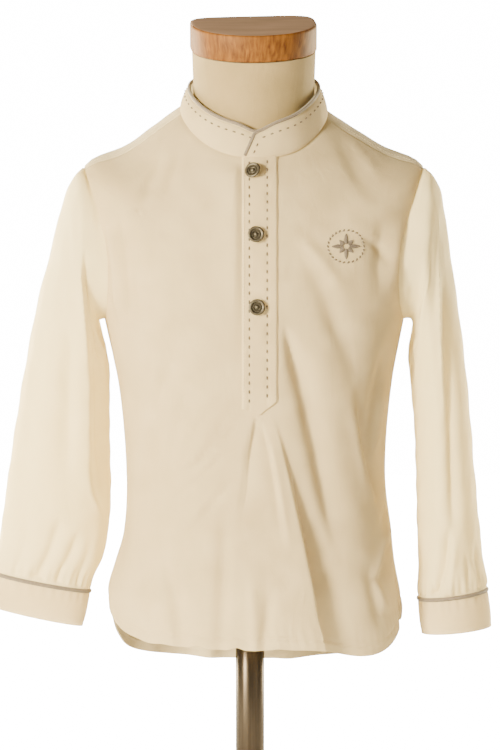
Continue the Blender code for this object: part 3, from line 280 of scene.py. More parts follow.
# Creases: troughs have a depth above 0 and ridges below 0. The path runs down the cloth, through (x, z)
# points of the front view, and its two widths are on the left and the right of it. A low power makes the
# crease sharp.
Crease = namedtuple("Crease", "name path depth before after fade_in fade_out power")
FRONT_CREASES = [
    Crease("pleat_left", [(0.0023, 0.362), (-0.0030, 0.333), (-0.0060, 0.307), (-0.0125, 0.270)],
           0.0026, 0.0014, 0.0050, 0.10, 0.55, 1.4),
    Crease("pleat_middle", [(0.0045, 0.360), (0.0106, 0.336), (0.0151, 0.313), (0.0205, 0.262)],
           0.0016, 0.0050, 0.0018, 0.15, 0.45, 1.4),
    Crease("pleat_light", [(0.0110, 0.352), (0.0165, 0.322), (0.0220, 0.290), (0.0275, 0.255)],
           -0.0014, 0.0022, 0.0040, 0.30, 0.35, 1.8),
    Crease("placket_drag",
           [(0.0204, 0.431), (0.0347, 0.389), (0.0437, 0.351), (0.0588, 0.291), (0.0724, 0.242)],
           0.0072, 0.0060, 0.0110, 0.22, 0.40, 1.8),
    Crease("placket_pull", [(0.0188, 0.437), (0.0272, 0.414), (0.0380, 0.382)],
           0.0026, 0.0026, 0.0042, 0.30, 0.50, 1.5),
    Crease("chest_drag",
           [(0.0330, 0.488), (0.0520, 0.458), (0.0620, 0.430), (0.0720, 0.408), (0.0800, 0.374)],
           0.0034, 0.0080, 0.0110, 0.35, 0.40, 1.8),
    Crease("chest_light", [(0.0240, 0.510), (0.0445, 0.487), (0.0600, 0.466), (0.0720, 0.446)],
           -0.0018, 0.0060, 0.0070, 0.40, 0.45, 2.0),
    Crease("flank_ridge", [(0.0724, 0.384), (0.0829, 0.321), (0.0985, 0.270)],
           -0.0022, 0.0050, 0.0034, 0.35, 0.35, 1.6),
    Crease("flank_hollow", [(0.0784, 0.386), (0.0890, 0.321), (0.1030, 0.272)],
           0.0038, 0.0032, 0.0065, 0.30, 0.40, 1.8),
    Crease("side_hollow", [(0.1040, 0.418), (0.0962, 0.386), (0.0885, 0.344)],
           0.0042, 0.0045, 0.0040, 0.35, 0.35, 1.8),
    Crease("side_ridge", [(0.1015, 0.386), (0.0955, 0.352), (0.0900, 0.316)],
           -0.0030, 0.0030, 0.0030, 0.35, 0.35, 1.6),
    Crease("pucker_a", [(0.1035, 0.274), (0.0925, 0.232)], -0.0030, 0.0034, 0.0030, 0.30, 0.30, 1.6),
    Crease("pucker_b", [(0.1070, 0.266), (0.0975, 0.224)], 0.0034, 0.0030, 0.0042, 0.30, 0.30, 1.8),
    Crease("pucker_c", [(0.0925, 0.234), (0.1030, 0.204)], -0.0028, 0.0040, 0.0032, 0.30, 0.35, 1.6),
    Crease("pucker_d", [(0.0880, 0.246), (0.0985, 0.192)], 0.0028, 0.0040, 0.0034, 0.35, 0.35, 1.8),
    Crease("pucker_e", [(0.1090, 0.300), (0.0990, 0.268)], 0.0024, 0.0028, 0.0030, 0.40, 0.40, 1.8),
    Crease("collar_drag", [(0.0600, 0.583), (0.0690, 0.564), (0.0860, 0.533), (0.1010, 0.510)],
           0.0016, 0.0070, 0.0100, 0.30, 0.45, 1.8),
    Crease("collar_light", [(0.0750, 0.574), (0.0860, 0.556), (0.1000, 0.535)],
           -0.0012, 0.0050, 0.0060, 0.35, 0.45, 2.0),
    Crease("left_tension", [(-0.0143, 0.369), (-0.0340, 0.340), (-0.0560, 0.303)],
           0.0018, 0.0026, 0.0034, 0.30, 0.45, 1.8),
    Crease("left_tension_high", [(-0.0120, 0.394), (-0.0400, 0.358), (-0.0620, 0.322)],
           0.0013, 0.0022, 0.0032, 0.30, 0.45, 1.8),
    Crease("left_fall", [(-0.0560, 0.432), (-0.0709, 0.381), (-0.0837, 0.331), (-0.0912, 0.281)],
           0.0030, 0.0045, 0.0085, 0.35, 0.40, 1.9),
    Crease("left_fall_inner", [(-0.0470, 0.400), (-0.0600, 0.350), (-0.0720, 0.300)],
           0.0016, 0.0030, 0.0050, 0.40, 0.45, 2.0),
    Crease("hem_wave_left", [(-0.0780, 0.270), (-0.0930, 0.180)], 0.0026, 0.0080, 0.0080, 0.50, 0.0, 2.0),
    Crease("hem_wave_inner", [(-0.0709, 0.262), (-0.0630, 0.230), (-0.0550, 0.180)],
           0.0044, 0.0044, 0.0062, 0.45, 0.0, 1.8),
    Crease("hem_wave_middle", [(-0.0210, 0.310), (-0.0235, 0.250), (-0.0260, 0.180)],
           0.0030, 0.0045, 0.0055, 0.50, 0.0, 2.0),
    Crease("hem_wave_right", [(0.0080, 0.262), (0.0110, 0.180)], 0.0013, 0.0050, 0.0060, 0.50, 0.0, 2.0),
    Crease("left_pull_a", [(-0.0083, 0.3610), (-0.0369, 0.3330), (-0.0724, 0.3050)],
           0.0027, 0.0018, 0.0036, 0.25, 0.50, 1.6),
    Crease("left_pull_b", [(-0.0143, 0.3440), (-0.0422, 0.3150), (-0.0671, 0.2940)],
           0.0027, 0.0020, 0.0034, 0.30, 0.50, 1.6),
    Crease("left_pull_c", [(-0.0106, 0.3210), (-0.0369, 0.2890), (-0.0558, 0.2640)],
           0.0025, 0.0020, 0.0038, 0.35, 0.50, 1.6),
    Crease("hem_light", [(-0.0030, 0.2530), (0.0015, 0.1800)], -0.0018, 0.0040, 0.0050, 0.50, 0.0, 1.9),
    Crease("hem_trough", [(0.0130, 0.2360), (0.0060, 0.1800)], 0.0018, 0.0032, 0.0042, 0.50, 0.0, 1.9),
    Crease("shoulder_left_a", [(-0.0700, 0.5620), (-0.0800, 0.5380), (-0.0900, 0.5100)],
           0.0025, 0.0036, 0.0055, 0.35, 0.50, 1.7),
    Crease("shoulder_left_b", [(-0.0560, 0.5660), (-0.0640, 0.5420), (-0.0700, 0.5200)],
           0.0019, 0.0032, 0.0050, 0.35, 0.50, 1.7),
    Crease("armhole_hollow_left", [(-0.104, 0.525), (-0.099, 0.490), (-0.096, 0.455), (-0.095, 0.410)],
           0.0030, 0.0036, 0.0060, 0.35, 0.45, 1.7),
    Crease("armhole_hollow_right", [(0.0990, 0.5150), (0.0960, 0.4850), (0.0945, 0.4450)],
           0.0018, 0.0055, 0.0045, 0.35, 0.45, 1.8),
    Crease("chest_pull", [(0.0790, 0.5000), (0.0940, 0.4890), (0.1060, 0.4700)],
           0.0020, 0.0045, 0.0065, 0.35, 0.45, 1.8),
    Crease("armhole_left", [(-0.1150, 0.520), (-0.1095, 0.495), (-0.1065, 0.470), (-0.1030, 0.420)],
           -0.0036, 0.0026, 0.0055, 0.30, 0.40, 1.7),
    Crease("armhole_right", [(0.1130, 0.515), (0.1080, 0.480), (0.1040, 0.440)],
           -0.0026, 0.0055, 0.0030, 0.30, 0.40, 1.8),
]
BACK_CREASES = [
    Crease("blade_left", [(-0.0450, 0.520), (-0.0480, 0.400), (-0.0600, 0.260)],
           0.0044, 0.0110, 0.0090, 0.40, 0.40, 1.8),
    Crease("blade_right", [(0.0480, 0.520), (0.0510, 0.380), (0.0640, 0.240)],
           0.0048, 0.0090, 0.0120, 0.40, 0.40, 1.8),
    Crease("tail_left", [(-0.0250, 0.330), (-0.0300, 0.240), (-0.0380, 0.140)],
           0.0062, 0.0120, 0.0100, 0.50, 0.0, 1.8),
    Crease("tail_right", [(0.0200, 0.340), (0.0240, 0.250), (0.0300, 0.140)],
           0.0058, 0.0100, 0.0130, 0.50, 0.0, 1.8),
    Crease("waist_left", [(-0.0900, 0.400), (-0.0720, 0.350), (-0.0600, 0.300)],
           0.0028, 0.0060, 0.0060, 0.40, 0.45, 1.8),
    Crease("waist_right", [(0.0920, 0.410), (0.0780, 0.356), (0.0700, 0.300)],
           0.0030, 0.0060, 0.0060, 0.40, 0.45, 1.8),
    Crease("neck_drag", [(0.0120, 0.585), (-0.0060, 0.540), (-0.0160, 0.480)],
           0.0020, 0.0070, 0.0070, 0.40, 0.50, 2.0),
    Crease("tail_edge", [(-0.0780, 0.250), (-0.0860, 0.150)], 0.0026, 0.0080, 0.0080, 0.50, 0.0, 2.0),
    Crease("tail_edge_right", [(0.0740, 0.256), (0.0840, 0.150)], 0.0026, 0.0080, 0.0080, 0.50, 0.0, 2.0),
]

# Sleeve sections: the outer and the inner point in the front view, and the depth in front of and behind y_mid
Section = namedtuple("Section", "outer_x outer_z inner_x inner_z y_mid front back")
LEFT_SLEEVE = [
    Section(-0.1360, 0.5460, -0.1215, 0.4290, -0.007, 0.0380, 0.0380),
    Section(-0.1430, 0.5370, -0.1205, 0.4180, -0.006, 0.0385, 0.0400),
    Section(-0.1510, 0.5150, -0.1150, 0.4050, -0.004, 0.0390, 0.0415),
    Section(-0.1587, 0.4840, -0.1128, 0.3910, -0.002, 0.0390, 0.0420),
    Section(-0.1678, 0.4500, -0.1128, 0.3760, -0.001, 0.0380, 0.0400),
    Section(-0.1770, 0.4050, -0.1128, 0.3520, -0.001, 0.0360, 0.0370),
    Section(-0.1845, 0.3620, -0.1125, 0.3270, -0.002, 0.0330, 0.0340),
    Section(-0.1910, 0.3200, -0.1118, 0.2990, -0.003, 0.0300, 0.0300),
    Section(-0.1970, 0.2780, -0.1135, 0.2700, -0.004, 0.0270, 0.0270),
    Section(-0.2005, 0.2520, -0.1185, 0.2440, -0.005, 0.0240, 0.0240),
    Section(-0.2030, 0.2400, -0.1262, 0.2280, -0.006, 0.0210, 0.0210),
]
RIGHT_SLEEVE = [
    Section(0.1366, 0.5455, 0.1228, 0.4310, -0.009, 0.0380, 0.0380),
    Section(0.1440, 0.5350, 0.1238, 0.4190, -0.007, 0.0385, 0.0400),
    Section(0.1492, 0.5110, 0.1205, 0.4030, -0.004, 0.0395, 0.0420),
    Section(0.1535, 0.4820, 0.1220, 0.3890, -0.002, 0.0405, 0.0430),
    Section(0.1585, 0.4490, 0.1235, 0.3720, -0.001, 0.0415, 0.0430),
    Section(0.1645, 0.4040, 0.1258, 0.3480, -0.001, 0.0420, 0.0430),
    Section(0.1690, 0.3600, 0.1268, 0.3230, -0.002, 0.0425, 0.0430),
    Section(0.1725, 0.3180, 0.1275, 0.2960, -0.003, 0.0420, 0.0420),
    Section(0.1765, 0.2760, 0.1280, 0.2680, -0.004, 0.0390, 0.0390),
    Section(0.1800, 0.2440, 0.1290, 0.2380, -0.005, 0.0340, 0.0340),
    Section(0.1826, 0.2270, 0.1286, 0.2200, -0.006, 0.0305, 0.0305),
]
LEFT_CUFF = [
    Section(-0.2035, 0.2335, -0.1285, 0.2190, -0.006, 0.0175, 0.0175),
    Section(-0.2075, 0.2060, -0.1345, 0.1900, -0.007, 0.0150, 0.0150),
]
RIGHT_CUFF = [
    Section(0.1830, 0.2207, 0.1290, 0.2132, -0.006, 0.0275, 0.0275),
    Section(0.1867, 0.1905, 0.1318, 0.1845, -0.007, 0.0255, 0.0255),
]
SLEEVE_ROWS = 150
CUFF_ROWS = 22

# Creases on a sleeve: the path runs through (angle, share of the length) points, 0 degrees outer and 90
# front, and the widths are in degrees
LEFT_CREASES = [
    Crease("front_edge", [(88, 0.02), (93, 0.12), (116, 0.34), (123, 0.56), (129, 0.72), (158, 0.83)],
                 -0.0036, 15, 4, 0.15, 0.20, 1.5),
    Crease("inner_side", [(118, 0.10), (140, 0.34), (146, 0.56), (150, 0.74)],
                 0.0048, 11, 20, 0.25, 0.25, 2.0),
    Crease("front_hollow", [(84, 0.22), (92, 0.40), (98, 0.58), (94, 0.74)],
                 0.0044, 17, 9, 0.35, 0.35, 2.0),
    Crease("underarm", [(102, 0.03), (122, 0.12), (150, 0.24)], 0.0056, 7, 13, 0.30, 0.40, 1.6),
    Crease("outer_soft", [(50, 0.20), (44, 0.60), (52, 0.90)], 0.0016, 14, 14, 0.40, 0.40, 2.0),
    Crease("gather_a", [(97, 0.78), (84, 1.00)], 0.0038, 5, 8, 0.40, 0.0, 1.6),
    Crease("gather_b", [(119, 0.82), (107, 1.00)], 0.0034, 5, 7, 0.40, 0.0, 1.6),
    Crease("gather_c", [(134, 0.84), (136, 1.00)], 0.0016, 6, 6, 0.45, 0.0, 1.8),
    Crease("gather_d", [(60, 0.80), (58, 1.00)], 0.0016, 7, 7, 0.45, 0.0, 1.8),
    Crease("back_fall", [(262, 0.15), (276, 0.50), (284, 0.85)], 0.0036, 20, 16, 0.35, 0.35, 2.0),
    Crease("back_edge", [(238, 0.10), (232, 0.50), (236, 0.90)], -0.0020, 6, 14, 0.30, 0.30, 1.6),
    Crease("back_gather_a", [(258, 0.80), (266, 1.00)], 0.0024, 7, 6, 0.45, 0.0, 1.7),
    Crease("back_gather_b", [(300, 0.82), (292, 1.00)], 0.0022, 6, 7, 0.45, 0.0, 1.7),
]
RIGHT_CREASES = [
    Crease("pressed", [(45, 0.05), (70, 0.20), (87, 0.40), (92, 0.56)], -0.0022, 6, 5, 0.20, 0.45, 1.3),
    Crease("front_fall", [(58, 0.18), (70, 0.40), (79, 0.58), (86, 0.78), (98, 0.90)],
                 0.0058, 17, 13, 0.30, 0.30, 1.9),
    Crease("low_fold", [(94, 0.80), (108, 0.92), (126, 1.00)], 0.0046, 7, 9, 0.35, 0.0, 1.6),
    Crease("low_light", [(82, 0.82), (100, 1.00)], -0.0018, 8, 7, 0.40, 0.0, 1.8),
    Crease("front_ridge", [(104, 0.02), (98, 0.22)], -0.0018, 12, 14, 0.30, 0.50, 2.0),
    Crease("seam_hollow", [(126, 0.01), (134, 0.10)], 0.0022, 10, 12, 0.20, 0.50, 1.8),
    Crease("underarm_a", [(150, 0.04), (140, 0.14), (146, 0.24)], 0.0036, 8, 8, 0.30, 0.45, 1.7),
    Crease("underarm_b", [(166, 0.08), (158, 0.18), (160, 0.30)], 0.0028, 7, 7, 0.35, 0.45, 1.7),
    Crease("gather_a", [(66, 0.86), (62, 1.00)], 0.0016, 5, 5, 0.45, 0.0, 1.8),
    Crease("gather_b", [(44, 0.84), (42, 1.00)], 0.0016, 6, 6, 0.45, 0.0, 1.8),
    Crease("gather_c", [(146, 0.86), (148, 1.00)], 0.0014, 6, 6, 0.45, 0.0, 1.8),
    Crease("back_fall", [(286, 0.12), (276, 0.50), (270, 0.88)], 0.0038, 16, 20, 0.35, 0.35, 2.0),
    Crease("back_edge", [(312, 0.10), (306, 0.50), (302, 0.86)], -0.0016, 14, 6, 0.30, 0.30, 1.6),
    Crease("back_gather_a", [(250, 0.82), (258, 1.00)], 0.0022, 7, 6, 0.45, 0.0, 1.7),
    Crease("back_gather_b", [(286, 0.84), (280, 1.00)], 0.0020, 6, 7, 0.45, 0.0, 1.7),
]
UNDER_SEAM_DEG = 180.0
UNDER_SEAM_DEPTH = 0.0005
UNDER_SEAM_WIDTH_DEG = 2.6
SLEEVE_HEAD = 0.0012  # how far the sleeve's head stands up past its seam
HEAD_RISE = 0.012  # the head rises and falls off again over these shares of the sleeve's length
HEAD_FALL = 0.08
GATHERS = 34
GATHER_DEPTH = 0.0006
GATHERS_FROM = 0.93
GATHERS_FADE = 0.05
HELD_TOP = 0.02  # the seams hold the cloth over these shares of the sleeve's length
HELD_LOW = 0.012
Arm = namedtuple("Arm", "word side sleeve cuff creases")
ARMS = [
    Arm("left", -1, LEFT_SLEEVE, LEFT_CUFF, LEFT_CREASES),
    Arm("right", 1, RIGHT_SLEEVE, RIGHT_CUFF, RIGHT_CREASES),
]

# The collar's top edge
Edge = namedtuple("Edge", "half_width front back side_z front_z back_z")
COLLAR_TOP = Edge(0.0508, 0.0508, 0.0475, 0.6110, 0.5810, 0.6210)

Stud = namedtuple("Stud", "name x z turn_deg")
BUTTONS = [
    Stud("button_top", 0.0005, 0.5455, -24.0),
    Stud("button_middle", 0.0015, 0.4985, 0.0),
    Stud("button_low", 0.0023, 0.4440, 0.0),
]

# Half outline of a button, from the middle of its face round to the middle of its shank
BUTTON_OUTLINE = [
    (0.0000, 0.0049), (0.0009, 0.00495), (0.0014, 0.0046), (0.0016, 0.0036), (0.0021, 0.0034),
    (0.0025, 0.0036), (0.0028, 0.0046), (0.0031, 0.0046), (0.0033, 0.0039), (0.0037, 0.0039),
    (0.0039, 0.0046), (0.0043, 0.0049), (0.0052, 0.0051), (0.0058, 0.00495), (0.0061, 0.0046),
    (BUTTON_RADIUS, 0.0042), (0.0061, 0.0037), (0.0056, 0.0034), (0.0030, 0.0032), (0.0020, 0.0031),
    (0.0017, 0.0026), (0.0016, 0.0004), (0.0000, 0.0004),
]

# Half outline of the stand's foot, from the middle of its top round to the middle of its underside
BASE_OUTLINE = [
    (0.0000, POLE_FOOT_Z), (0.0168, POLE_FOOT_Z), (0.0184, 0.0214), (0.0190, 0.0200), (0.0194, 0.0120),
    (0.0204, 0.0100), (0.0230, 0.0091), (0.0260, 0.0089), (0.1000, 0.0080), (0.1300, 0.0075),
    (0.1360, 0.0068), (0.1388, 0.0052), (BASE_RADIUS, 0.0030), (0.1398, 0.0010), (0.1386, 0.0000),
    (0.0000, 0.0000),
]

# How far out and up the cap's side runs, from its lower edge to its top
CAP_PROFILE = [
    (-0.0012, 0.0), (-0.0004, 0.0002), (0.0, 0.0010), (0.0, 0.0100), (0.0, 0.0190), (-0.0004, 0.0203),
    (-0.0014, 0.0209), (-0.0030, CAP_THICKNESS),
]
CAP_TOP_FACING = 0.8  # faces that look up more than this have the top's wood

# The form inside the shirt: how far it stays inside the cloth
FormGap = namedtuple("FormGap", "r front side back")
FORM_GAPS = [
    FormGap(0.02, 0.0060, 0.0030, 0.0045),
    FormGap(0.06, 0.0060, 0.0028, 0.0045),
    FormGap(0.13, 0.0065, 0.0028, 0.0050),
    FormGap(0.20, 0.0075, 0.0045, 0.0055),
    FormGap(0.31, 0.0090, 0.0130, 0.0070),
    FormGap(0.42, 0.0110, 0.0110, 0.0090),
    FormGap(0.53, 0.0130, 0.0070, 0.0100),
    FormGap(0.65, 0.0200, 0.0065, 0.0120),
    FormGap(0.80, 0.0300, 0.0120, 0.0160),
]
FORM_WALL = 0.0016
FORM_TOP_R = 0.03
FORM_LOW_R = 0.78
FORM_RINGS = 15
FORM_COLUMNS = 168
FORM_ROWS = 110
NeckRing = namedtuple("NeckRing", "side_z front_z back_z half_width front_y back_y square_back")
NECK = [
    NeckRing(0.5925, 0.5560, 0.5985, 0.0500, -0.0480, 0.0430, 2.1),
    NeckRing(0.6080, 0.5780, 0.6150, 0.0472, -0.0452, 0.0350, 2.4),
    NeckRing(0.6230, 0.6020, 0.6270, 0.0476, -0.0449, 0.0280, 3.6),
]
NECK_HALF_WIDTH = 0.0482
NECK_FRONT_Y = -0.0450
NECK_BACK_Y = 0.0260
NECK_SQUARE_FRONT = 2.05
NECK_SQUARE_BACK = 5.0
FloorRing = namedtuple("FloorRing", "z half_width front_y back_y")
FLOOR_SQUARE = 2.3
FORM_FLOOR = [
    FloorRing(0.2240, 0.0925, -0.0670, 0.0665),
    FloorRing(0.2150, 0.0905, -0.0645, 0.0645),
    FloorRing(FORM_FLOOR_Z, 0.0850, -0.0600, 0.0600),
]

# Weaves: the threads' pitch and height, and how rough and how hairy the cloth is
Weave = namedtuple("Weave", "pitch depth roughness sheen")
COTTON = Weave(0.00055, 0.00006, 0.88, 0.1)
LINEN = Weave(0.0009, 0.00012, 0.9, 0.1)

# Sewing
RUN_PITCH = 0.0068  # taupe running stitches
RUN_LENGTH = 0.0030
RUN_RADIUS = 0.00060
FINE_PITCH = 0.0024  # ivory machine stitches
FINE_LENGTH = 0.0018
FINE_RADIUS = 0.00022
STITCH_SIDES = 6
STITCH_RINGS = 5
STITCH_TAPER = 0.92
STITCH_ARCH = 0.9  # shares of its radius that a stitch arches out and is sunk in
STITCH_SUNK = 0.5
SHOULDER_STITCH = 0.0045  # in from the shoulder seam
HEM_STITCH_END = 0.03  # angle left free at both ends of a hem

# The motif on the chest: an eight-pointed star in a ring of seed stitches
MOTIF_X = 0.0700
MOTIF_Z = 0.4897
MOTIF_HALF_WIDTH = 0.0140
MOTIF_HALF_HEIGHT = 0.0122
MOTIF_SEEDS = 26
MOTIF_RAYS = 8
RAY_STITCHES = 9
RAY_FROM = 0.20
RAY_TO = 0.74
SHORT_RAY = 0.66
SEED_LENGTH = 0.0026
SEED_SLANT = 0.5
MOTIF_RADIUS = 0.00065
MOTIF_STEP = 0.0004

# Sheets of cloth: the size that shows, laid flat, its area, how it is held, what it rests on and its trims
Sheet = namedtuple("Sheet", "name width length area held rests_on trims")

# Camera and light
CAMERA_ELEVATION = math.radians(4.0)
CAMERA_DISTANCE = 2.4
CAMERA_LENS = 147.0  # in millimetres, as the sensor's width is
CAMERA_SENSOR = 36.0
CAMERA_TARGET = Vector((0.0, 0.0, 0.387))
AROUND = 0.3  # strength of the light from all round
WARM = (1.0, 0.85, 0.54)  # colour of the light
BACKDROP = 20.0  # brightness of the white backdrop
FLOOR_SOFT = 0.20  # the floor starts to turn white at this distance from the pole, and is white at the next
FLOOR_WHITE = 0.44
FLOOR_RADIUS = 3.0
FLOOR_STEPS = 96
Light = namedtuple("Light", "name place size energy reaches")
SLEEVES = ["sleeve_left_cloth", "sleeve_right_cloth", "cuff_left_cloth", "cuff_right_cloth"]
LIGHTS = [  # a light that names pieces reaches those alone
    Light("key", (-1.70, -1.95, 0.88), 0.7, 286.0, []),
    Light("fill", (1.9, -1.6, 0.4), 1.2, 6.0, []),
    Light("behind_left", (-1.7, 1.4, 0.6), 1.2, 190.0, []),
    Light("behind_right", (1.7, 1.4, 0.6), 1.2, 130.0, []),
    Light("through_left", (-1.3, 1.8, 0.5), 1.2, 240.0, SLEEVES),
    Light("through_right", (1.3, 1.8, 0.5), 1.2, 70.0, SLEEVES),
]


def smoothstep(x):
    x = np.clip(x, 0.0, 1.0)
    return x * x * (3 - 2 * x)


def bell(x, width):
    return np.exp(-((x / width) ** 2))


def curve_through(xs, ys, x):
    """A smooth curve through the points (xs, ys), read at x. ys may hold numbers or whole rings of points."""
    xs = np.asarray(xs, float)
    ys = np.asarray(ys, float)
    x = np.asarray(x, float)
    slopes = np.gradient(ys, xs, axis=0)
    i = np.clip(np.searchsorted(xs, x) - 1, 0, len(xs) - 2)
    h = xs[i + 1] - xs[i]
    s = (x - xs[i]) / h
    spread = s.shape + (1,) * (ys.ndim - 1)
    h, s = h.reshape(spread), s.reshape(spread)
    start = (1 + 2 * s) * (1 - s) ** 2 * ys[i] + s * (1 - s) ** 2 * h * slopes[i]
    end = s * s * (3 - 2 * s) * ys[i + 1] + s * s * (s - 1) * h * slopes[i + 1]
    return start + end


def column(table, key, name, x):
    """The named column of a table, read as a smooth curve of its key column."""
    return curve_through([getattr(row, key) for row in table], [getattr(row, name) for row in table], x)


def line_column(table, key, name, x):
    """The named column of a table, read in straight lines."""
    return np.interp(x, [getattr(row, key) for row in table], [getattr(row, name) for row in table])


def dense_ends(count, amount):
    """Shares from 0 to 1 that lie closer together at both ends."""
    u = np.linspace(0, 1, count)
    return u - amount * np.sin(2 * math.pi * u) / (2 * math.pi)


def unit(v):
    return v / np.linalg.norm(v, axis=-1, keepdims=True)


def round_angles(count):
    return np.arange(count) * 2 * math.pi / count


def distances_along(points):
    """Distance of each point from the first one, or the mean distance of each ring from the first ring."""
    steps = np.linalg.norm(np.diff(points, axis=0), axis=-1)
    if steps.ndim > 1:
        steps = steps.mean(axis=1)
    return np.concatenate([[0], np.cumsum(steps)])


def section_radius(t, half_width, depth, square):
    """Distance from the middle to a rounded-square outline, in the direction t."""
    across = np.abs(np.cos(t)) / half_width
    along = np.abs(np.sin(t)) / depth
    return (across**square + along**square) ** (-1 / square)


def ring_height(ring, t):
    """Height of a ring that runs from its back over its sides down to its front."""
    middle_z = (ring.front_z + ring.back_z) / 2
    tilt = (ring.back_z - ring.front_z) / 2
    return ring.side_z + tilt * np.sin(t) + (middle_z - ring.side_z) * np.sin(t) ** 2


def body_surface(t, r):
    """The smooth outer surface of the shirt's body, before folds. t is the angle round the body from +X."""
    t, r = np.broadcast_arrays(np.asarray(t, float), np.asarray(r, float))
    front = np.sin(t) < 0
    ring = {name: column(BODY, "r", name, r) for name in Ring._fields}
    depth = np.where(front, -ring["front_y"], ring["back_y"])
    radius = section_radius(t, ring["half_width"], depth, ring["square"])
    x = radius * np.cos(t)
    y = radius * np.sin(t)
    bend = np.where(front, ring["bend_front"], ring["bend_back"])
    slope = np.where(front, ring["slope_front"], ring["slope_back"])
    beside = np.cos(t) ** 2
    turned = 1 - slope * beside - (1 - slope) * beside**bend
    middle_z = (ring["front_z"] + ring["back_z"]) / 2
    tilt = (ring["back_z"] - ring["front_z"]) / 2
    z = ring["side_z"] + tilt * np.sin(t) + (middle_z - ring["side_z"]) * turned
    z = z - LEAN * x * (1 - smoothstep(r / LEAN_TO))
    clear_of_side = smoothstep(-np.sin(t) / SIDE_FADE)
    drop = bell(x - HEM_DROP_X, HEM_DROP_WIDTH) * smoothstep((r - HEM_DROP_FROM) / (1 - HEM_DROP_FROM))
    z = z - HEM_DROP * drop * clear_of_side
    near_hem = smoothstep((r - HEM_RISES_FROM) / (1 - HEM_RISES_FROM)) * clear_of_side
    for rise in HEM_RISES:
        z = z + rise.height * bell(x - rise.x, rise.width) * near_hem
    return np.stack([x + column(SWAY, "r", "x", r), y, z], axis=-1)


def surface_normal(surface, t, r):
    """Outward normal of a surface that is read by (t, r), and its direction up towards the neck."""
    small = 1e-4
    r_low = np.clip(np.asarray(r, float) - small, 0, 1)
    r_high = np.clip(np.asarray(r, float) + small, 0, 1)
    down = surface(t, r_high) - surface(t, r_low)
    around = surface(np.asarray(t) + small, r) - surface(np.asarray(t) - small, r)
    return unit(np.cross(down, around)), -unit(down)


def crease_depth(creases, across, down, full_turn=None):
    """How far creases push the cloth in, by a place across it, which may be an angle, and one down it."""
    total = np.zeros_like(across)
    for crease in creases:
        places, keys = zip(*sorted(crease.path, key=lambda point: point[1]))
        q = across - curve_through(keys, places, np.clip(down, keys[0], keys[-1]))
        if full_turn:
            q = (q + full_turn / 2) % full_turn - full_turn / 2
        shape = np.exp(-(np.abs(q / np.where(q < 0, crease.before, crease.after)) ** crease.power))
        start, end = crease.path[0][1], crease.path[-1][1]
        s = (down - start) / (end - start)
        fade = smoothstep(s / crease.fade_in)
        if crease.fade_out:
            fade = fade * smoothstep((1 - s) / crease.fade_out)
        total += crease.depth * shape * fade
    return total


def pleat_depth(x, z):
    """The box pleat: its right edge stands proud, and the cloth beside it drops back and rolls out again."""
    grown = smoothstep((PLEAT_POINT_Z - z) / (PLEAT_POINT_Z - PLEAT_HEM_Z) * PLEAT_GROWTH)
    q = x - line_column(PLEAT_LINES, "z", "right_x", z)
    width = np.where(q < 0, PLEAT_RIDGE_LEFT, PLEAT_RIDGE_RIGHT)
    ridge = PLEAT_RIDGE * bell(q, width) * smoothstep((PLEAT_POINT_Z - z) / PLEAT_RIDGE_GROWTH)
    fall = smoothstep(q / PLEAT_WALL_WIDTH)
    roll = 1 - smoothstep((q - PLEAT_WALL_WIDTH) / PLEAT_ROLL_WIDTH)
    return PLEAT_DEPTH * grown * fall * roll - ridge


def unevenness(a, b):
    """Slight soft unevenness of worn cloth, from -1 to 1, by two lengths along it in metres."""
    first = np.sin(190 * a + 60 * b + 1.3 * np.sin(75 * b)) * np.sin(120 * b + 0.7)
    second = np.sin(310 * b - 120 * a + 0.4) * np.sin(95 * a + 40 * b + 2.0)
    return 0.6 * first + 0.4 * second


def placket_mask(x, z):
    """0 under the placket, where the cloth is held flat, and 1 clear of it."""
    beside = smoothstep((np.abs(x - PLACKET_X) - PLACKET_WIDTH / 2 - FLAT_MARGIN) / FLAT_FADE)
    below = smoothstep((PLEAT_POINT_Z + FLAT_MARGIN - z) / FLAT_FADE)
    return np.maximum(beside, below)


def beside_placket(z):
    """How strongly the front folds up beside the placket, down its length."""
    return smoothstep((RIDGE_TOP_Z - z) / RIDGE_TOP_FADE) * smoothstep((z - RIDGE_LOW_Z) / RIDGE_LOW_FADE)


def placket_ridge(x, z):
    """The fold of the front that stands up along the placket's left edge."""
    q = PLACKET_X - PLACKET_WIDTH / 2 - LAYER_GAP - x
    fall = bell(np.maximum(q - RIDGE_WIDTH, 0), RIDGE_SPREAD)
    return RIDGE_HEIGHT * smoothstep(q / RIDGE_WIDTH) * fall * beside_placket(z)


def cloth_surface(t, r):
    """The shirt's body surface with its folds."""
    p = body_surface(t, r)
    n, _ = surface_normal(body_surface, t, r)
    x, z = p[..., 0], p[..., 2]
    s = np.broadcast_to(np.sin(t), x.shape)
    front = smoothstep(-s / SIDE_FADE) * placket_mask(x, z)
    back = smoothstep(s / SIDE_FADE)
    push = front * (crease_depth(FRONT_CREASES, x, z) + pleat_depth(x, z))
    push = push + back * crease_depth(BACK_CREASES, x, z)
    push = push - placket_ridge(x, z) * smoothstep(-s / SIDE_FADE)
    push = push + UNEVEN * unevenness(x, z) * np.maximum(front, back)
    push = push * smoothstep(np.broadcast_to(r, x.shape) / NECK_FADE)
    return p - n * push[..., None]


def angle_at_x(x, r):
    """The angle on the front where the body surface has this x."""
    r = np.asarray(r, float)
    sway = column(SWAY, "r", "x", r)
    t = np.full(np.broadcast(x, r).shape, -math.pi / 2)
    for _ in range(ANGLE_STEPS):
        point = body_surface(t, r)
        radius = np.hypot(point[..., 0] - sway, point[..., 1])
        t = -math.pi / 2 + np.arcsin(np.clip((x - sway) / radius, -1, 1))
    return t


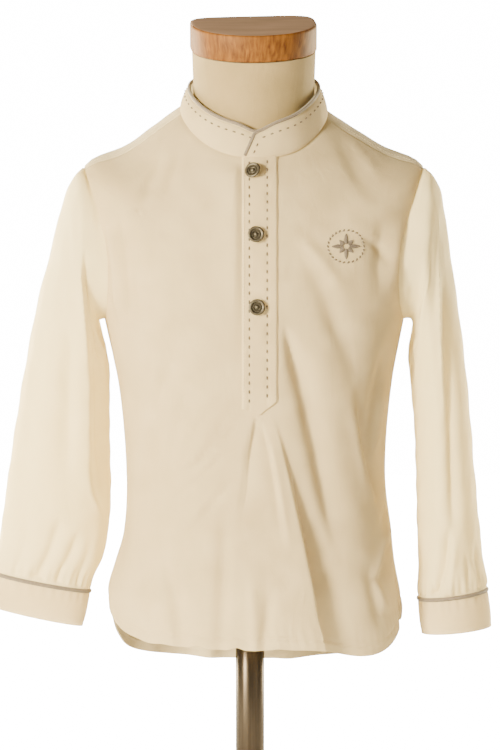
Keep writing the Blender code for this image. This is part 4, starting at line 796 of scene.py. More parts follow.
def locate_front(x, z):
    """(t, r) of the front's points that are seen at x and z."""
    x, z = np.broadcast_arrays(np.asarray(x, float), np.asarray(z, float))
    low, high = np.zeros(x.shape), np.ones(x.shape)
    for _ in range(HALVINGS):
        r = (low + high) / 2
        above = body_surface(angle_at_x(x, r), r)[..., 2] > z
        low = np.where(above, r, low)
        high = np.where(above, high, r)
    return angle_at_x(x, r), r


def front_points(x, z, lift):
    """Points of the front that are seen at x and z, lifted off the cloth, and their normals."""
    t, r = locate_front(x, z)
    n, _ = surface_normal(cloth_surface, t, r)
    return cloth_surface(t, r) + n * lift, n


def opening_angle(r, widest_deg):
    """How far the armhole's edge lies from the seam line, in radians."""
    middle = (R_TIP + R_PIT) / 2
    half = (R_PIT - R_TIP) / 2
    share = np.clip(1 - ((r - middle) / half) ** 2, 0, 1)
    return math.radians(widest_deg) * np.sqrt(share)


def seam_angle(side, r):
    """Angle of the seam line on the right (side 1) or left (side -1), measured forward of the body's side."""
    return np.radians(line_column(SEAM_LINE, "r", "right_deg" if side > 0 else "left_deg", r))


def edge_angle(side, r, front):
    """Angle t of a panel's edge on one side: the seam line, opened out at the armhole and the side slit."""
    line = seam_angle(side, r)
    radius = np.linalg.norm(body_surface(0.0, r)[..., :2], axis=-1)
    slit = SIDE_SLIT_OPEN / radius * smoothstep((r - R_SIDE_SLIT) / (1 - R_SIDE_SLIT))
    if front:
        forward = line + opening_angle(r, ARMHOLE_FRONT) + slit
    else:
        forward = line - opening_angle(r, ARMHOLE_BACK) - slit
    if side > 0:
        return -forward
    return -math.pi + forward if front else math.pi + forward


def armhole_rows():
    turn = np.linspace(0, math.pi, ROWS_ARMHOLE + 1)
    return (R_TIP + R_PIT) / 2 - (R_PIT - R_TIP) / 2 * np.cos(turn)


def panel_rows():
    return np.concatenate([
        dense_ends(2 * ROWS_SHOULDER + 1, SHOULDER_DENSE)[: ROWS_SHOULDER] * 2 * R_TIP,
        armhole_rows()[:-1],
        np.linspace(R_PIT, R_HEM_ROWS, ROWS_BODY + 1)[:-1],
        np.linspace(R_HEM_ROWS, 1, ROWS_HEM + 1),
    ])


def pleat_angle(r, name):
    z = body_surface(-math.pi / 2, r)[..., 2]
    return angle_at_x(line_column(PLEAT_LINES, "z", name, z), r)


def between(start, end, shares):
    """Rows of values from start to end, one row for each pair."""
    return start[:, None] + (end - start)[:, None] * shares


def front_angles(rows):
    """Angles of the front's columns in each row: left of the pleat, across it, down its wall, and on."""
    left, right = edge_angle(-1, rows, True), edge_angle(1, rows, True)
    pleat_left, pleat_right = pleat_angle(rows, "left_x"), pleat_angle(rows, "right_x")
    wall = pleat_right + math.radians(PLEAT_WALL_DEG)
    dense_left = dense_ends(2 * COLUMNS_LEFT + 1, PANEL_DENSE)[:COLUMNS_LEFT] * 2
    dense_right = 1 - dense_ends(2 * COLUMNS_RIGHT + 1, PANEL_DENSE)[: COLUMNS_RIGHT + 1][::-1] * 2
    parts = [
        between(left, pleat_left, dense_left),
        between(pleat_left, pleat_right, np.linspace(0, 1, COLUMNS_MIDDLE + 1)[:-1]),
        between(pleat_right, wall, np.linspace(0, 1, COLUMNS_WALL + 1)[:-1]),
        between(wall, right, dense_right),
    ]
    return np.concatenate(parts, axis=1)


def back_angles(rows):
    shares = dense_ends(COLUMNS_BACK + 1, PANEL_DENSE)
    return between(edge_angle(1, rows, False), edge_angle(-1, rows, False), shares)


def grid_normals(outer, closed):
    """Normals of a grid of points, rows first, that face out where columns turn anticlockwise from above."""
    if closed:
        around = np.roll(outer, -1, axis=1) - np.roll(outer, 1, axis=1)
    else:
        around = np.gradient(outer, axis=1)
    return unit(np.cross(np.gradient(outer, axis=0), around))


def grid_faces(rows, columns, closed):
    """Quads of a grid of points, and the edges round its border, as pairs in the quads' direction."""
    index = np.arange(rows * columns).reshape(rows, columns)
    wide = np.concatenate([index, index[:, :1]], axis=1) if closed else index
    quads = np.stack([wide[:-1, :-1], wide[1:, :-1], wide[1:, 1:], wide[:-1, 1:]], axis=-1).reshape(-1, 4)
    edges = [np.stack([wide[-1, :-1], wide[-1, 1:]], axis=-1), np.stack([wide[0, 1:], wide[0, :-1]], axis=-1)]
    if not closed:
        edges.append(np.stack([wide[:-1, 0], wide[1:, 0]], axis=-1))
        edges.append(np.stack([wide[1:, -1], wide[:-1, -1]], axis=-1))
    return quads, np.concatenate(edges)


def lidded_faces(rows, columns):
    """Faces of closed rings of points, with a lid on the first ring and on the last."""
    quads, _ = grid_faces(rows, columns, True)
    last = (rows - 1) * columns
    return quads.tolist() + [list(range(columns)), [last + j for j in reversed(range(columns))]]


def tube_faces(count, sides, closed):
    """Faces of a tube of rings that is joined to its start, or has a lid at each end."""
    index = np.arange(count * sides).reshape(count, sides)
    wide = np.concatenate([index, index[:, :1]], axis=1)
    if closed:
        wide = np.concatenate([wide, wide[:1]], axis=0)
    quads = np.stack([wide[:-1, :-1], wide[:-1, 1:], wide[1:, 1:], wide[1:, :-1]], axis=-1)
    lids = [] if closed else [index[0][::-1].tolist(), index[-1].tolist()]
    return quads.reshape(-1, 4).tolist() + lids


def grid_lengths(outer):
    """The cloth's own coordinates in metres: along each row and down each column."""
    across = np.linalg.norm(np.diff(outer, axis=1), axis=-1)
    down = np.linalg.norm(np.diff(outer, axis=0), axis=-1)
    u = np.concatenate([np.zeros((len(outer), 1)), np.cumsum(across, axis=1)], axis=1)
    v = np.concatenate([np.zeros((1, outer.shape[1])), np.cumsum(down, axis=0)], axis=0)
    return np.stack([u - u[:, -1:] / 2, -v], axis=-1)


def add_to_scene(name, data):
    item = bpy.data.objects.new(name, data)
    bpy.context.scene.collection.objects.link(item)
    return item


def add_piece(name, points, faces, material, stands_for=(), uv=None, shift=AXIS_X, sharp_deg=50):
    """An object in the scene that rides on the part and stands for the frame's nodes."""
    mesh = bpy.data.meshes.new(name)
    mesh.from_pydata((np.asarray(points) + np.array([shift, 0, 0])).tolist(), [], [list(f) for f in faces])
    if uv is not None:
        layer = mesh.uv_layers.new(name="cloth")
        corners = np.empty(len(mesh.loops), dtype=np.int32)
        mesh.loops.foreach_get("vertex_index", corners)
        layer.data.foreach_set("uv", uv[corners].astype(np.float32).ravel())
    item = add_to_scene(name, mesh)
    mesh.materials.append(material)
    mesh.shade_smooth()
    mesh.set_sharp_from_angle(angle=math.radians(sharp_deg))
    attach(item, "root")
    if stands_for:
        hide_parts(*stands_for)
    return item


def cloth_shell(name, outer, normals, thickness, material, stands_for, closed=False):
    """A thin shell of cloth between a grid of points and the same grid moved in by the thickness."""
    rows, columns = outer.shape[:2]
    inner = outer - normals * (thickness[..., None] if np.ndim(thickness) else thickness)
    quads, edges = grid_faces(rows, columns, closed)
    count = rows * columns
    rims = np.stack([edges[:, 1], edges[:, 0], edges[:, 0] + count, edges[:, 1] + count], axis=-1)
    faces = np.concatenate([quads, quads[:, ::-1] + count, rims])
    points = np.concatenate([outer.reshape(-1, 3), inner.reshape(-1, 3)])
    uv = np.tile(grid_lengths(outer).reshape(-1, 2), (2, 1))
    add_piece(name, points, faces.tolist(), material, stands_for, uv)


def hem_share(t):
    """How far down the surface the hem's stitching lies at each angle, and the surface's length there."""
    height = np.linalg.norm(body_surface(t, 1.0) - body_surface(t, 1.0 - HEM_STEP), axis=-1) / HEM_STEP
    return 1 - HEM_HEIGHT / height, height


def panel_grid(angles, rows):
    """Outer points, normals and thickness of a panel, with its seams rolled in and its hem turned up."""
    r = np.broadcast_to(rows[:, None], angles.shape)
    points = cloth_surface(angles, r)
    normals, _ = surface_normal(cloth_surface, angles, r)
    radius = np.linalg.norm(points[..., :2], axis=-1)
    from_left = (angles - angles[:, :1]) * radius
    from_right = (angles[:, -1:] - angles) * radius
    from_neck = np.broadcast_to((rows * (BODY[0].side_z - BODY[-1].side_z))[:, None], angles.shape)
    nearest = np.minimum(np.minimum(from_left, from_right), from_neck)
    push = SEAM_DIP * bell(nearest, SEAM_WIDTH)
    line, height = hem_share(angles)
    above = (line - r) * height
    push = push + HEM_GROOVE * bell(above, HEM_GROOVE_WIDTH)
    wave = np.sin(angles * radius * 2 * math.pi / PUCKER_LENGTH + 2 * np.sin(angles * 9))
    near = bell(points[..., 0] - PUCKER_X, PUCKER_SPREAD) * (np.sin(angles) < 0)
    strength = PUCKER * (PUCKER_ALL + PUCKER_MORE * near)
    push = push + strength * wave * bell(above, PUCKER_REACH) * (r > R_SIDE_SLIT)
    thickness = np.where(above < 0, HEMMED, CLOTH)
    return points - normals * push[..., None], normals, thickness


def make_panel(name, angles, rows, material, node):
    outer, normals, thickness = panel_grid(angles, rows)
    cloth_shell(name, outer, normals, thickness, material, [node])


def armhole_loop(side):
    """The armhole's edge, from the shoulder tip forward and down to the armpit and up behind."""
    rows = armhole_rows()
    front = edge_angle(side, rows, True)
    back = edge_angle(side, rows, False)
    if side < 0:
        back = back - 2 * math.pi
    t = np.concatenate([front, back[1:-1][::-1]])
    r = np.concatenate([rows, rows[1:-1][::-1]])
    n, _ = surface_normal(cloth_surface, t, r)
    return cloth_surface(t, r) - n * SEAM_DIP


def ring_angles():
    """Angles round a sleeve from its outer line forward, one for each point of the armhole loop."""
    return round_angles(2 * ROWS_ARMHOLE)


def section_points(section, angles):
    """A sleeve section: an oval between its outer and inner points in the front view."""
    outer = np.array([section.outer_x, 0, section.outer_z])
    inner = np.array([section.inner_x, 0, section.inner_z])
    middle = (outer + inner) / 2 + np.array([0, section.y_mid, 0])
    depth = np.where(np.sin(angles) > 0, section.front, section.back)
    across = np.cos(angles)[:, None] * (outer - inner) / 2
    along = (-np.sin(angles) * depth)[:, None] * np.array([0, 1.0, 0])
    return middle + across + along


def sleeve_shell(name, side, outer, normals, thickness, material, node):
    """A closed shell of cloth, whose columns turn the same way on both arms."""
    if side > 0:
        outer, normals = outer[:, ::-1], normals[:, ::-1]
    cloth_shell(name, outer, normals, thickness, material, [node], closed=True)


def make_sleeve(arm, material):
    """A sleeve from the armhole's edge to the cuff's piping, with its creases, gathers and underarm seam."""
    angles = ring_angles()
    sections = arm.sleeve + arm.cuff[:1]
    rings = np.stack([armhole_loop(arm.side)] + [section_points(s, angles) for s in sections])
    keys = distances_along(rings)
    share = dense_ends(SLEEVE_ROWS, SLEEVE_DENSE)
    outer = curve_through(keys, rings, share * keys[-1])
    normals = grid_normals(outer, closed=True) * -arm.side
    degrees = np.broadcast_to(np.degrees(angles), outer.shape[:2])
    turn = np.radians(degrees)
    along = np.broadcast_to(share[:, None], outer.shape[:2])
    push = crease_depth(arm.creases, degrees, along, full_turn=360)
    push = push + UNDER_SEAM_DEPTH * bell(degrees - UNDER_SEAM_DEG, UNDER_SEAM_WIDTH_DEG)
    head = smoothstep(along / HEAD_RISE) * (1 - smoothstep(along / HEAD_FALL)) * np.clip(np.cos(turn), 0, 1)
    push = push - SLEEVE_HEAD * head
    gathers = np.sin(turn * GATHERS + 1.5 * np.sin(turn * 3))
    push = push + GATHER_DEPTH * gathers * smoothstep((along - GATHERS_FROM) / GATHERS_FADE)
    push = push + UNEVEN * unevenness(along * SLEEVE_ABOUT[0], turn * SLEEVE_ABOUT[1])
    held = smoothstep(along / HELD_TOP) * smoothstep((1 - along) / HELD_LOW)
    outer = outer - normals * (push * held)[..., None]
    normals = grid_normals(outer, closed=True) * -arm.side
    sleeve_shell(f"sleeve_{arm.word}_cloth", arm.side, outer, normals, CLOTH, material, f"sleeve_{arm.word}")


def cuff_rings(arm):
    """A cuff's top and bottom rings and the direction of its axis."""
    top, bottom = (section_points(section, ring_angles()) for section in arm.cuff)
    return top, bottom, unit((bottom - top).mean(axis=0))


def cuff_grid(arm):
    """Outer points and normals of a cuff: full in the middle, and drawn in a little at its stitching."""
    angles = ring_angles()
    top, bottom, axis = cuff_rings(arm)
    top = top + axis * CUFF_PIPING_HEIGHT
    v = np.linspace(0, 1, CUFF_ROWS + 1)[:, None]
    outer = top + (bottom - top) * v[..., None]
    normals = grid_normals(outer, closed=True) * -arm.side
    full = CUFF_BULGE * np.sin(math.pi * v)
    wave = np.sin(angles * CUFF_PUCKERS + 2 * np.sin(angles * 3))
    puckers = CUFF_PUCKER * wave * (1 - smoothstep(v / CUFF_PUCKER_V))
    groove = CUFF_GROOVE * bell(v - CUFF_STITCH_V, CUFF_GROOVE_WIDTH)
    return outer + normals * (full + puckers - groove)[..., None], normals


def make_cuff(arm, material):
    outer, normals = cuff_grid(arm)
    sleeve_shell(f"cuff_{arm.word}_cloth", arm.side, outer, normals, BAND, material, f"cuff_{arm.word}")


def add_piping(name, centre, first, second, radius, sides, closed, material, node):
    """A covered cord along a line of points, with the two directions of its section at each."""
    turn = round_angles(sides)[:, None]
    rings = centre[:, None] + (first[:, None] * np.cos(turn) + second[:, None] * np.sin(turn)) * radius
    count = len(centre)
    around = np.tile(turn[:, 0] / (2 * math.pi), count)
    uv = np.stack([np.repeat(distances_along(centre), sides), around], axis=-1)
    add_piece(name, rings.reshape(-1, 3), tube_faces(count, sides, closed), material, [node], uv)


def make_cuff_piping(arm, material):
    """The corded piping in the cuff's seam."""
    top, bottom, axis = cuff_rings(arm)
    normals = grid_normals(np.stack([top, bottom]), closed=True)[0] * -arm.side
    centre = top + axis * CUFF_PIPING_HEIGHT / 2 - normals * CUFF_PIPING_RADIUS * CUFF_PIPING_SUNK
    down = np.broadcast_to(axis, centre.shape) * arm.side
    add_piping(f"cuff_{arm.word}_piping", centre, normals, down, CUFF_PIPING_RADIUS, CUFF_PIPING_SIDES, True,
               material, f"cuff_piping_{arm.word}")


def collar_top(t):
    """Points of the collar's top edge, with its dip at the overlap."""
    depth = np.where(np.sin(t) < 0, COLLAR_TOP.front, COLLAR_TOP.back)
    radius = section_radius(t, COLLAR_TOP.half_width, depth, 2.0)
    x = radius * np.cos(t)
    y = radius * np.sin(t)
    dip = END_DIP * bell(x - OVER_END_HIGH_X, END_DIP_WIDTH) * (np.sin(t) < 0)
    return np.stack([x, y, ring_height(COLLAR_TOP, t) - dip], axis=-1)


def collar_point(u, v):
    """The collar's outer face: u runs from the under end round the neck to the over end, v up the band."""
    u, v = np.broadcast_arrays(np.asarray(u, float), np.asarray(v, float))
    start = angle_at_x(UNDER_END_X, 0.0)
    over_x = OVER_END_LOW_X + (OVER_END_HIGH_X - OVER_END_LOW_X) * v
    end = angle_at_x(over_x, 0.0) - 2 * math.pi
    t = start + (end - start) * u
    n, _ = surface_normal(cloth_surface, t, np.zeros_like(t))
    base = cloth_surface(t, np.zeros_like(t)) - n * SEAM_DIP
    points = base + (collar_top(t) - base) * v[..., None]
    outward = unit(points * np.array([1, 1, 0]))
    full = COLLAR_BULGE * 4 * v * (1 - v) + SEAM_DIP * smoothstep(v / COLLAR_FOOT_V)
    forward = -np.degrees(t) - 360
    lift = (BAND + LAYER_GAP) * smoothstep((forward - OVERLAP_FROM) / (OVERLAP_TO - OVERLAP_FROM))
    return points + outward * (full + lift)[..., None]


def collar_normals(u, v):
    small = 1e-3
    across = collar_point(u - small, v) - collar_point(u + small, v)
    up = collar_point(u, np.minimum(v + small, 1)) - collar_point(u, np.maximum(v - small, 0))
    return unit(np.cross(across, up))


def make_collar(cloth):
    """The collar band with its rounded over end."""
    u = np.linspace(0, 1, COLLAR_COLUMNS)[None, :]
    round_share = np.clip((u - 1 + END_ROUND_U) / END_ROUND_U, 0, 1)
    height = 1 - END_ROUND_V * (1 - np.sqrt(1 - round_share**2))
    v = dense_ends(COLLAR_ROWS, PANEL_DENSE)[::-1][:, None] * height
    normals = collar_normals(u, v)
    groove = COLLAR_GROOVE * bell(v - COLLAR_GROOVE_V, COLLAR_GROOVE_WIDTH)
    outer = collar_point(u, v) - normals * groove[..., None]
    cloth_shell("collar_cloth", outer[:, ::-1], normals[:, ::-1], BAND, cloth, ["collar"])


def make_collar_piping(trim):
    """The piping in the collar's top edge, round its corner and down its over end."""
    turn = np.linspace(0, math.pi / 2, PIPING_ROUND_STEPS)[1:]
    top_u = np.linspace(0, 1 - END_ROUND_U, PIPING_TOP_STEPS)
    end_v = np.linspace(1 - END_ROUND_V, PIPING_END_V, PIPING_END_STEPS)[1:]
    u = np.concatenate([top_u, 1 - END_ROUND_U * (1 - np.sin(turn)), np.ones_like(end_v)])
    v = np.concatenate([np.ones_like(top_u), 1 - END_ROUND_V * (1 - np.cos(turn)), end_v])
    edge = collar_point(u, v)
    normal = collar_normals(u, v)
    out = unit(np.cross(normal, np.gradient(edge, axis=0)))
    if out[0][2] < 0:
        out = -out
    centre = edge - normal * BAND * PIPING_IN + out * PIPING_RADIUS * PIPING_OUT
    add_piping("collar_edge_piping", centre, normal, out, PIPING_RADIUS, PIPING_SIDES, False,
               trim, "collar_piping")


def strip_grid(middle_x, width, r_end, pointed, columns, rows):
    """A strip on the front: angles and distances down it, and x across it."""
    u = dense_ends(columns + 1, STRIP_DENSE)
    x = middle_x - width / 2 + width * u
    end_z = body_surface(-math.pi / 2, r_end)[2]
    corners = np.zeros_like(u)
    if pointed:
        corners = np.interp(u, [0, 0.5, 1], [PLACKET_LEFT_CORNER, 0, PLACKET_CORNER])
    _, r_low = locate_front(x, end_z + corners)
    r = np.linspace(0, 1, rows + 1)[:, None] * r_low
    return angle_at_x(np.broadcast_to(x, r.shape), r), r, x


def make_placket(cloth):
    """The placket, with its pressed edges and the dents of its running stitches."""
    t, r, x = strip_grid(PLACKET_X, PLACKET_WIDTH, R_PLACKET, True, PLACKET_COLUMNS, PLACKET_ROWS)
    points = cloth_surface(t, r)
    normals, _ = surface_normal(cloth_surface, t, r)
    from_left = x - (PLACKET_X - PLACKET_WIDTH / 2)
    from_right = PLACKET_WIDTH - from_left
    dent = np.zeros_like(from_left)
    for distance in (from_left - STITCH_LINE_LEFT, from_right - STITCH_LINE_RIGHT):
        dent = dent + PLACKET_DENT * bell(distance, PLACKET_DENT_WIDTH)
    edge = PRESSED_EDGE * bell(np.minimum(from_left, from_right), PRESSED_EDGE_WIDTH)
    waver = PLACKET_WAVER * np.sin(r * 90) * np.sin(x * 300)
    hollow = PLACKET_HOLLOW * smoothstep((PLACKET_HOLLOW_WIDTH - from_left) / PLACKET_HOLLOW_WIDTH)
    hollow = hollow * beside_placket(points[..., 2])
    outer = points + normals * (PLACKET_LIFT - dent - edge - hollow + waver)[..., None]
    cloth_shell("placket_cloth", outer, normals, PLACKET_THICK, cloth, ["placket"])


def make_under_placket(cloth):
    t, r, _ = strip_grid(PLACKET_X, UNDER_WIDTH, R_SLIT, False, UNDER_COLUMNS, UNDER_ROWS)
    points = cloth_surface(t, r)
    normals, _ = surface_normal(cloth_surface, t, r)
    under = points - normals * (CLOTH + LAYER_GAP)
    cloth_shell("under_placket_cloth", under, normals, CLOTH, cloth, ["placket_under"])


def spaced(points, normals, pitch):
    """Evenly spaced places on a line of points, with the line's direction and normal there."""
    keys = distances_along(points)
    count = max(int(round(keys[-1] / pitch)), 1)
    at = (np.arange(count) + 0.5) * keys[-1] / count
    step = pitch * 0.2

    def read(values, places):
        return np.stack([np.interp(places, keys, values[:, k]) for k in range(3)], axis=-1)

    return read(points, at), unit(read(points, at + step) - read(points, at - step)), unit(read(normals, at))


def add_stitches(name, lines, length, radius, material):
    """Stitches as small rounded threads that arch out of the cloth, by places, directions and normals."""
    place, along, normal = (np.concatenate(values) for values in zip(*lines))
    side = unit(np.cross(along, normal))
    normal = np.cross(side, along)
    v = np.linspace(-1, 1, STITCH_RINGS)
    size = radius * np.sqrt(np.clip(1 - STITCH_TAPER * v**4, 0, 1))
    arch = radius * STITCH_ARCH * (1 - v**2) - radius * STITCH_SUNK
    turn = round_angles(STITCH_SIDES)[:, None]
    points = []
    faces = []
    stitch_faces = tube_faces(STITCH_RINGS, STITCH_SIDES, False)
    lengths = np.broadcast_to(length, len(place))
    for k in range(len(place)):
        centre = place[k] + v[:, None] * along[k] * lengths[k] / 2 + arch[:, None] * normal[k]
        ring = side[k] * np.cos(turn) + normal[k] * np.sin(turn)
        points.append((centre[:, None] + ring * size[:, None, None]).reshape(-1, 3))
        first = k * STITCH_RINGS * STITCH_SIDES
        faces += [[first + corner for corner in face] for face in stitch_faces]
    add_piece(name, np.concatenate(points), faces, material)


def placket_line(x, z_high, z_low):
    z = np.linspace(z_high, z_low, 80)
    return front_points(np.full_like(z, x), z, PLACKET_LIFT)


def collar_line(u, v):
    """A line of points and normals on the collar's outer face."""
    u, v = np.broadcast_arrays(u, v)
    return collar_point(u, v), collar_normals(u, v)


def make_running_stitches(thread):
    """The taupe running stitches on the collar and on both sides of the placket."""
    left_x = PLACKET_X - PLACKET_WIDTH / 2 + STITCH_LINE_LEFT
    right_x = PLACKET_X + PLACKET_WIDTH / 2 - STITCH_LINE_RIGHT
    lines = [
        placket_line(left_x, 0.5550, 0.3700),
        placket_line(right_x, PLACKET_TOP_Z, 0.3740),
        collar_line(np.linspace(COLLAR_STITCH_U, 1 - COLLAR_STITCH_U, 300), COLLAR_STITCH_V),
        collar_line(1 - COLLAR_STITCH_U, np.linspace(END_STITCH_TOP_V, END_STITCH_LOW_V, 30)),
    ]
    stitches = [spaced(*line, RUN_PITCH) for line in lines]
    add_stitches("running_stitches", stitches, RUN_LENGTH, RUN_RADIUS, thread)


def panel_line(t, r, lift=0.0):
    """A line on a panel's cloth, by angles and distances down it."""
    t, r = np.broadcast_arrays(t, r)
    n, _ = surface_normal(cloth_surface, t, r)
    return cloth_surface(t, r) + n * lift, n


def make_fine_stitches(thread):
    """The ivory machine stitches of the hems, the shoulder seams, the placket's edges and the cuffs."""
    lines = []
    for angles in (front_angles(np.array([1.0]))[0], back_angles(np.array([1.0]))[0]):
        t = np.linspace(angles[0] + HEM_STITCH_END, angles[-1] - HEM_STITCH_END, 300)
        line, _ = hem_share(t)
        lines.append(panel_line(t, line, -HEM_GROOVE))
    for side in (-1, 1):
        r = np.linspace(0.01, R_TIP - 0.01, 60)
        t = edge_angle(side, r, False)
        radius = np.linalg.norm(body_surface(t, r)[..., :2], axis=-1)
        lines.append(panel_line(t + side * SHOULDER_STITCH / radius, r))
    for side in (-1, 1):
        x = PLACKET_X + side * (PLACKET_WIDTH / 2 - EDGE_STITCH)
        lines.append(placket_line(x, PLACKET_TOP_Z, 0.3720))
    for arm in ARMS:
        row = int(round(CUFF_STITCH_V * CUFF_ROWS))
        lines.append([np.concatenate([grid[row], grid[row, :1]]) for grid in cuff_grid(arm)])
    stitches = [spaced(*line, FINE_PITCH) for line in lines]
    add_stitches("fine_stitches", stitches, FINE_LENGTH, FINE_RADIUS, thread)


def make_motif(thread):
    """A generic embroidered star in a ring of seed stitches."""
    lines = []
    lengths = []
    for k in range(MOTIF_SEEDS):
        a = 2 * math.pi * k / MOTIF_SEEDS
        slant = a + math.pi / 2 + SEED_SLANT
        lines.append((MOTIF_HALF_WIDTH * math.cos(a), MOTIF_HALF_HEIGHT * math.sin(a), slant))
        lengths.append(SEED_LENGTH)
    for k in range(MOTIF_RAYS):
        a = 2 * math.pi * k / MOTIF_RAYS + math.pi / 2
        reach = 1.0 if k % 2 == 0 else SHORT_RAY
        for j in range(RAY_STITCHES):
            share = j / (RAY_STITCHES - 1)
            out = RAY_FROM + (RAY_TO * reach - RAY_FROM) * share
            x = MOTIF_HALF_WIDTH * out * math.cos(a)
            z = MOTIF_HALF_HEIGHT * out * math.sin(a)
            lines.append((x, z, a + math.pi / 2))
            lengths.append(0.0010 + 0.0030 * math.sin(math.pi * (0.25 + 0.70 * share)))
    x, z, turn = (np.array(values) for values in zip(*lines))
    place, normal = front_points(MOTIF_X + x, MOTIF_Z + z, 0.0)
    ahead, _ = front_points(
        MOTIF_X + x + MOTIF_STEP * np.cos(turn), MOTIF_Z + z + MOTIF_STEP * np.sin(turn), 0.0)
    stitches = [(place, unit(ahead - place), normal)]
    add_stitches("chest_motif", stitches, np.array(lengths), MOTIF_RADIUS, thread)


def turned_points(outline, steps):
    """Points and faces of an outline that is carried round Z."""
    radius, height = np.array(outline).T
    turn = round_angles(steps)
    rings = np.stack([
        radius[1:-1, None] * np.cos(turn), radius[1:-1, None] * np.sin(turn),
        np.broadcast_to(height[1:-1, None], (len(outline) - 2, steps)),
    ], axis=-1)
    quads, _ = grid_faces(len(rings), steps, True)
    points = np.concatenate([rings.reshape(-1, 3), [[0, 0, height[0]], [0, 0, height[-1]]]])
    top, bottom = len(points) - 2, len(points) - 1
    last = (len(rings) - 1) * steps
    faces = quads.tolist()
    faces += [[top, j, (j + 1) % steps] for j in range(steps)]
    faces += [[bottom, last + (j + 1) % steps, last + j] for j in range(steps)]
    return points, faces


def make_button(stud, metal):
    """A ringed metal button that stands on the placket, turned as it hangs."""
    points, faces = turned_points(BUTTON_OUTLINE, BUTTON_STEPS)
    t, r = locate_front(stud.x, stud.z)
    n, up = surface_normal(cloth_surface, t, r)
    facing = Matrix.Rotation(math.radians(stud.turn_deg), 3, Vector(up)) @ Vector(n)
    turn = np.array(facing.to_track_quat("Z", "Y").to_matrix())
    lift = PLACKET_LIFT - SHANK_SUNK + abs(math.sin(math.radians(stud.turn_deg))) * BUTTON_TILT_LIFT
    foot = cloth_surface(t, r) + n * lift
    points = points @ turn.T + foot
    add_piece(stud.name + "_metal", points, faces, metal, [stud.name], sharp_deg=70)


def oval(t, half_width, front_y, back_y, square_front, square_back):
    """A flat outline round the axis: x and y for each angle."""
    front_radius = section_radius(t, half_width, -front_y, square_front)
    back_radius = section_radius(t, half_width, back_y, square_back)
    radius = np.where(np.sin(t) < 0, front_radius, back_radius)
    return radius * np.cos(t), radius * np.sin(t)


def form_surface(t, r):
    """The form's skin: the shirt's smooth surface moved in by a gap that grows down the body."""
    p = body_surface(t, r)
    n, _ = surface_normal(body_surface, t, r)
    sides = np.cos(t) ** 2
    front = column(FORM_GAPS, "r", "front", r)
    back = column(FORM_GAPS, "r", "back", r)
    gap = column(FORM_GAPS, "r", "side", r) * sides + np.where(np.sin(t) < 0, front, back) * (1 - sides)
    return p - n * (FORM_WALL + gap)[..., None]


def neck_ring(t, ring):
    x, y = oval(t, ring.half_width, ring.front_y, ring.back_y, NECK_SQUARE_FRONT, ring.square_back)
    return np.stack([x, y, ring_height(ring, t)], axis=-1)


def make_form(linen):
    """The covered torso and neck."""
    t = round_angles(FORM_COLUMNS)
    x, y = oval(t, NECK_HALF_WIDTH, NECK_FRONT_Y, NECK_BACK_Y, NECK_SQUARE_FRONT, NECK_SQUARE_BACK)
    rings = [np.stack([x, y, NECK_TOP_Z + y * math.tan(CAP_TILT)], axis=-1)]
    rings += [neck_ring(t, ring) for ring in reversed(NECK)]
    rings += [form_surface(t, np.full_like(t, r)) for r in np.linspace(FORM_TOP_R, FORM_LOW_R, FORM_RINGS)]
    for ring in FORM_FLOOR:
        x, y = oval(t, ring.half_width, ring.front_y, ring.back_y, FLOOR_SQUARE, FLOOR_SQUARE)
        rings.append(np.stack([x, y, np.full_like(x, ring.z)], axis=-1))
    rings = np.stack(rings)
    keys = distances_along(rings)
    outer = curve_through(keys, rings, np.linspace(0, keys[-1], FORM_ROWS))
    faces = lidded_faces(FORM_ROWS, FORM_COLUMNS)
    uv = grid_lengths(outer).reshape(-1, 2)
    add_piece("form_cover", outer.reshape(-1, 3), faces, linen, ["form_body"], uv)


def make_cap(side_wood, top_wood):
    """The wooden neck cap: a half-round block with a straight back, on the tilted neck top."""
    t = round_angles(CAP_COLUMNS)
    rings = []
    for out, height in reversed(CAP_PROFILE):
        half_width = NECK_HALF_WIDTH + CAP_OVERHANG + out
        front_y = NECK_FRONT_Y - CAP_OVERHANG - out
        back_y = NECK_BACK_Y + CAP_OVERHANG + out
        x, y = oval(t, half_width, front_y, back_y, NECK_SQUARE_FRONT, NECK_SQUARE_BACK)
        rings.append(np.stack([x, y, np.full_like(x, height)], axis=-1))
    faces = lidded_faces(len(rings), CAP_COLUMNS)
    turned = Matrix.Rotation(CAP_TILT, 4, "X") @ Matrix.Rotation(CAP_TURN, 4, "Z")
    lifted = Matrix.Translation((0, -math.sin(CAP_TILT) * CONTACT, NECK_TOP_Z + math.cos(CAP_TILT) * CONTACT))
    place = lifted @ turned
    points = [list(place @ Vector(p)) for p in np.concatenate(rings).tolist()]
    item = add_piece("cap_block", points, faces, side_wood, ["neck_cap"], sharp_deg=60)
    item.data.materials.append(top_wood)
    for face in item.data.polygons:
        if face.normal.z > CAP_TOP_FACING:
            face.material_index = 1


def make_stand(metal):
    """The pole, with its two ends chamfered, and the round foot."""
    top, foot = FORM_FLOOR_Z - CONTACT, POLE_FOOT_Z + CONTACT
    end = POLE_RADIUS - POLE_CHAMFER
    pole = [
        (0.0, top), (end, top), (POLE_RADIUS, top - POLE_CHAMFER),
        (POLE_RADIUS, foot + POLE_CHAMFER), (end, foot), (0.0, foot),
    ]
    points, faces = turned_points(pole, POLE_STEPS)
    add_piece("pole_tube", points, faces, metal, ["stand_pole"], shift=0.0)
    points, faces = turned_points(BASE_OUTLINE, BASE_STEPS)
    add_piece("base_plate", points, faces, metal, ["stand_base"], shift=0.0)


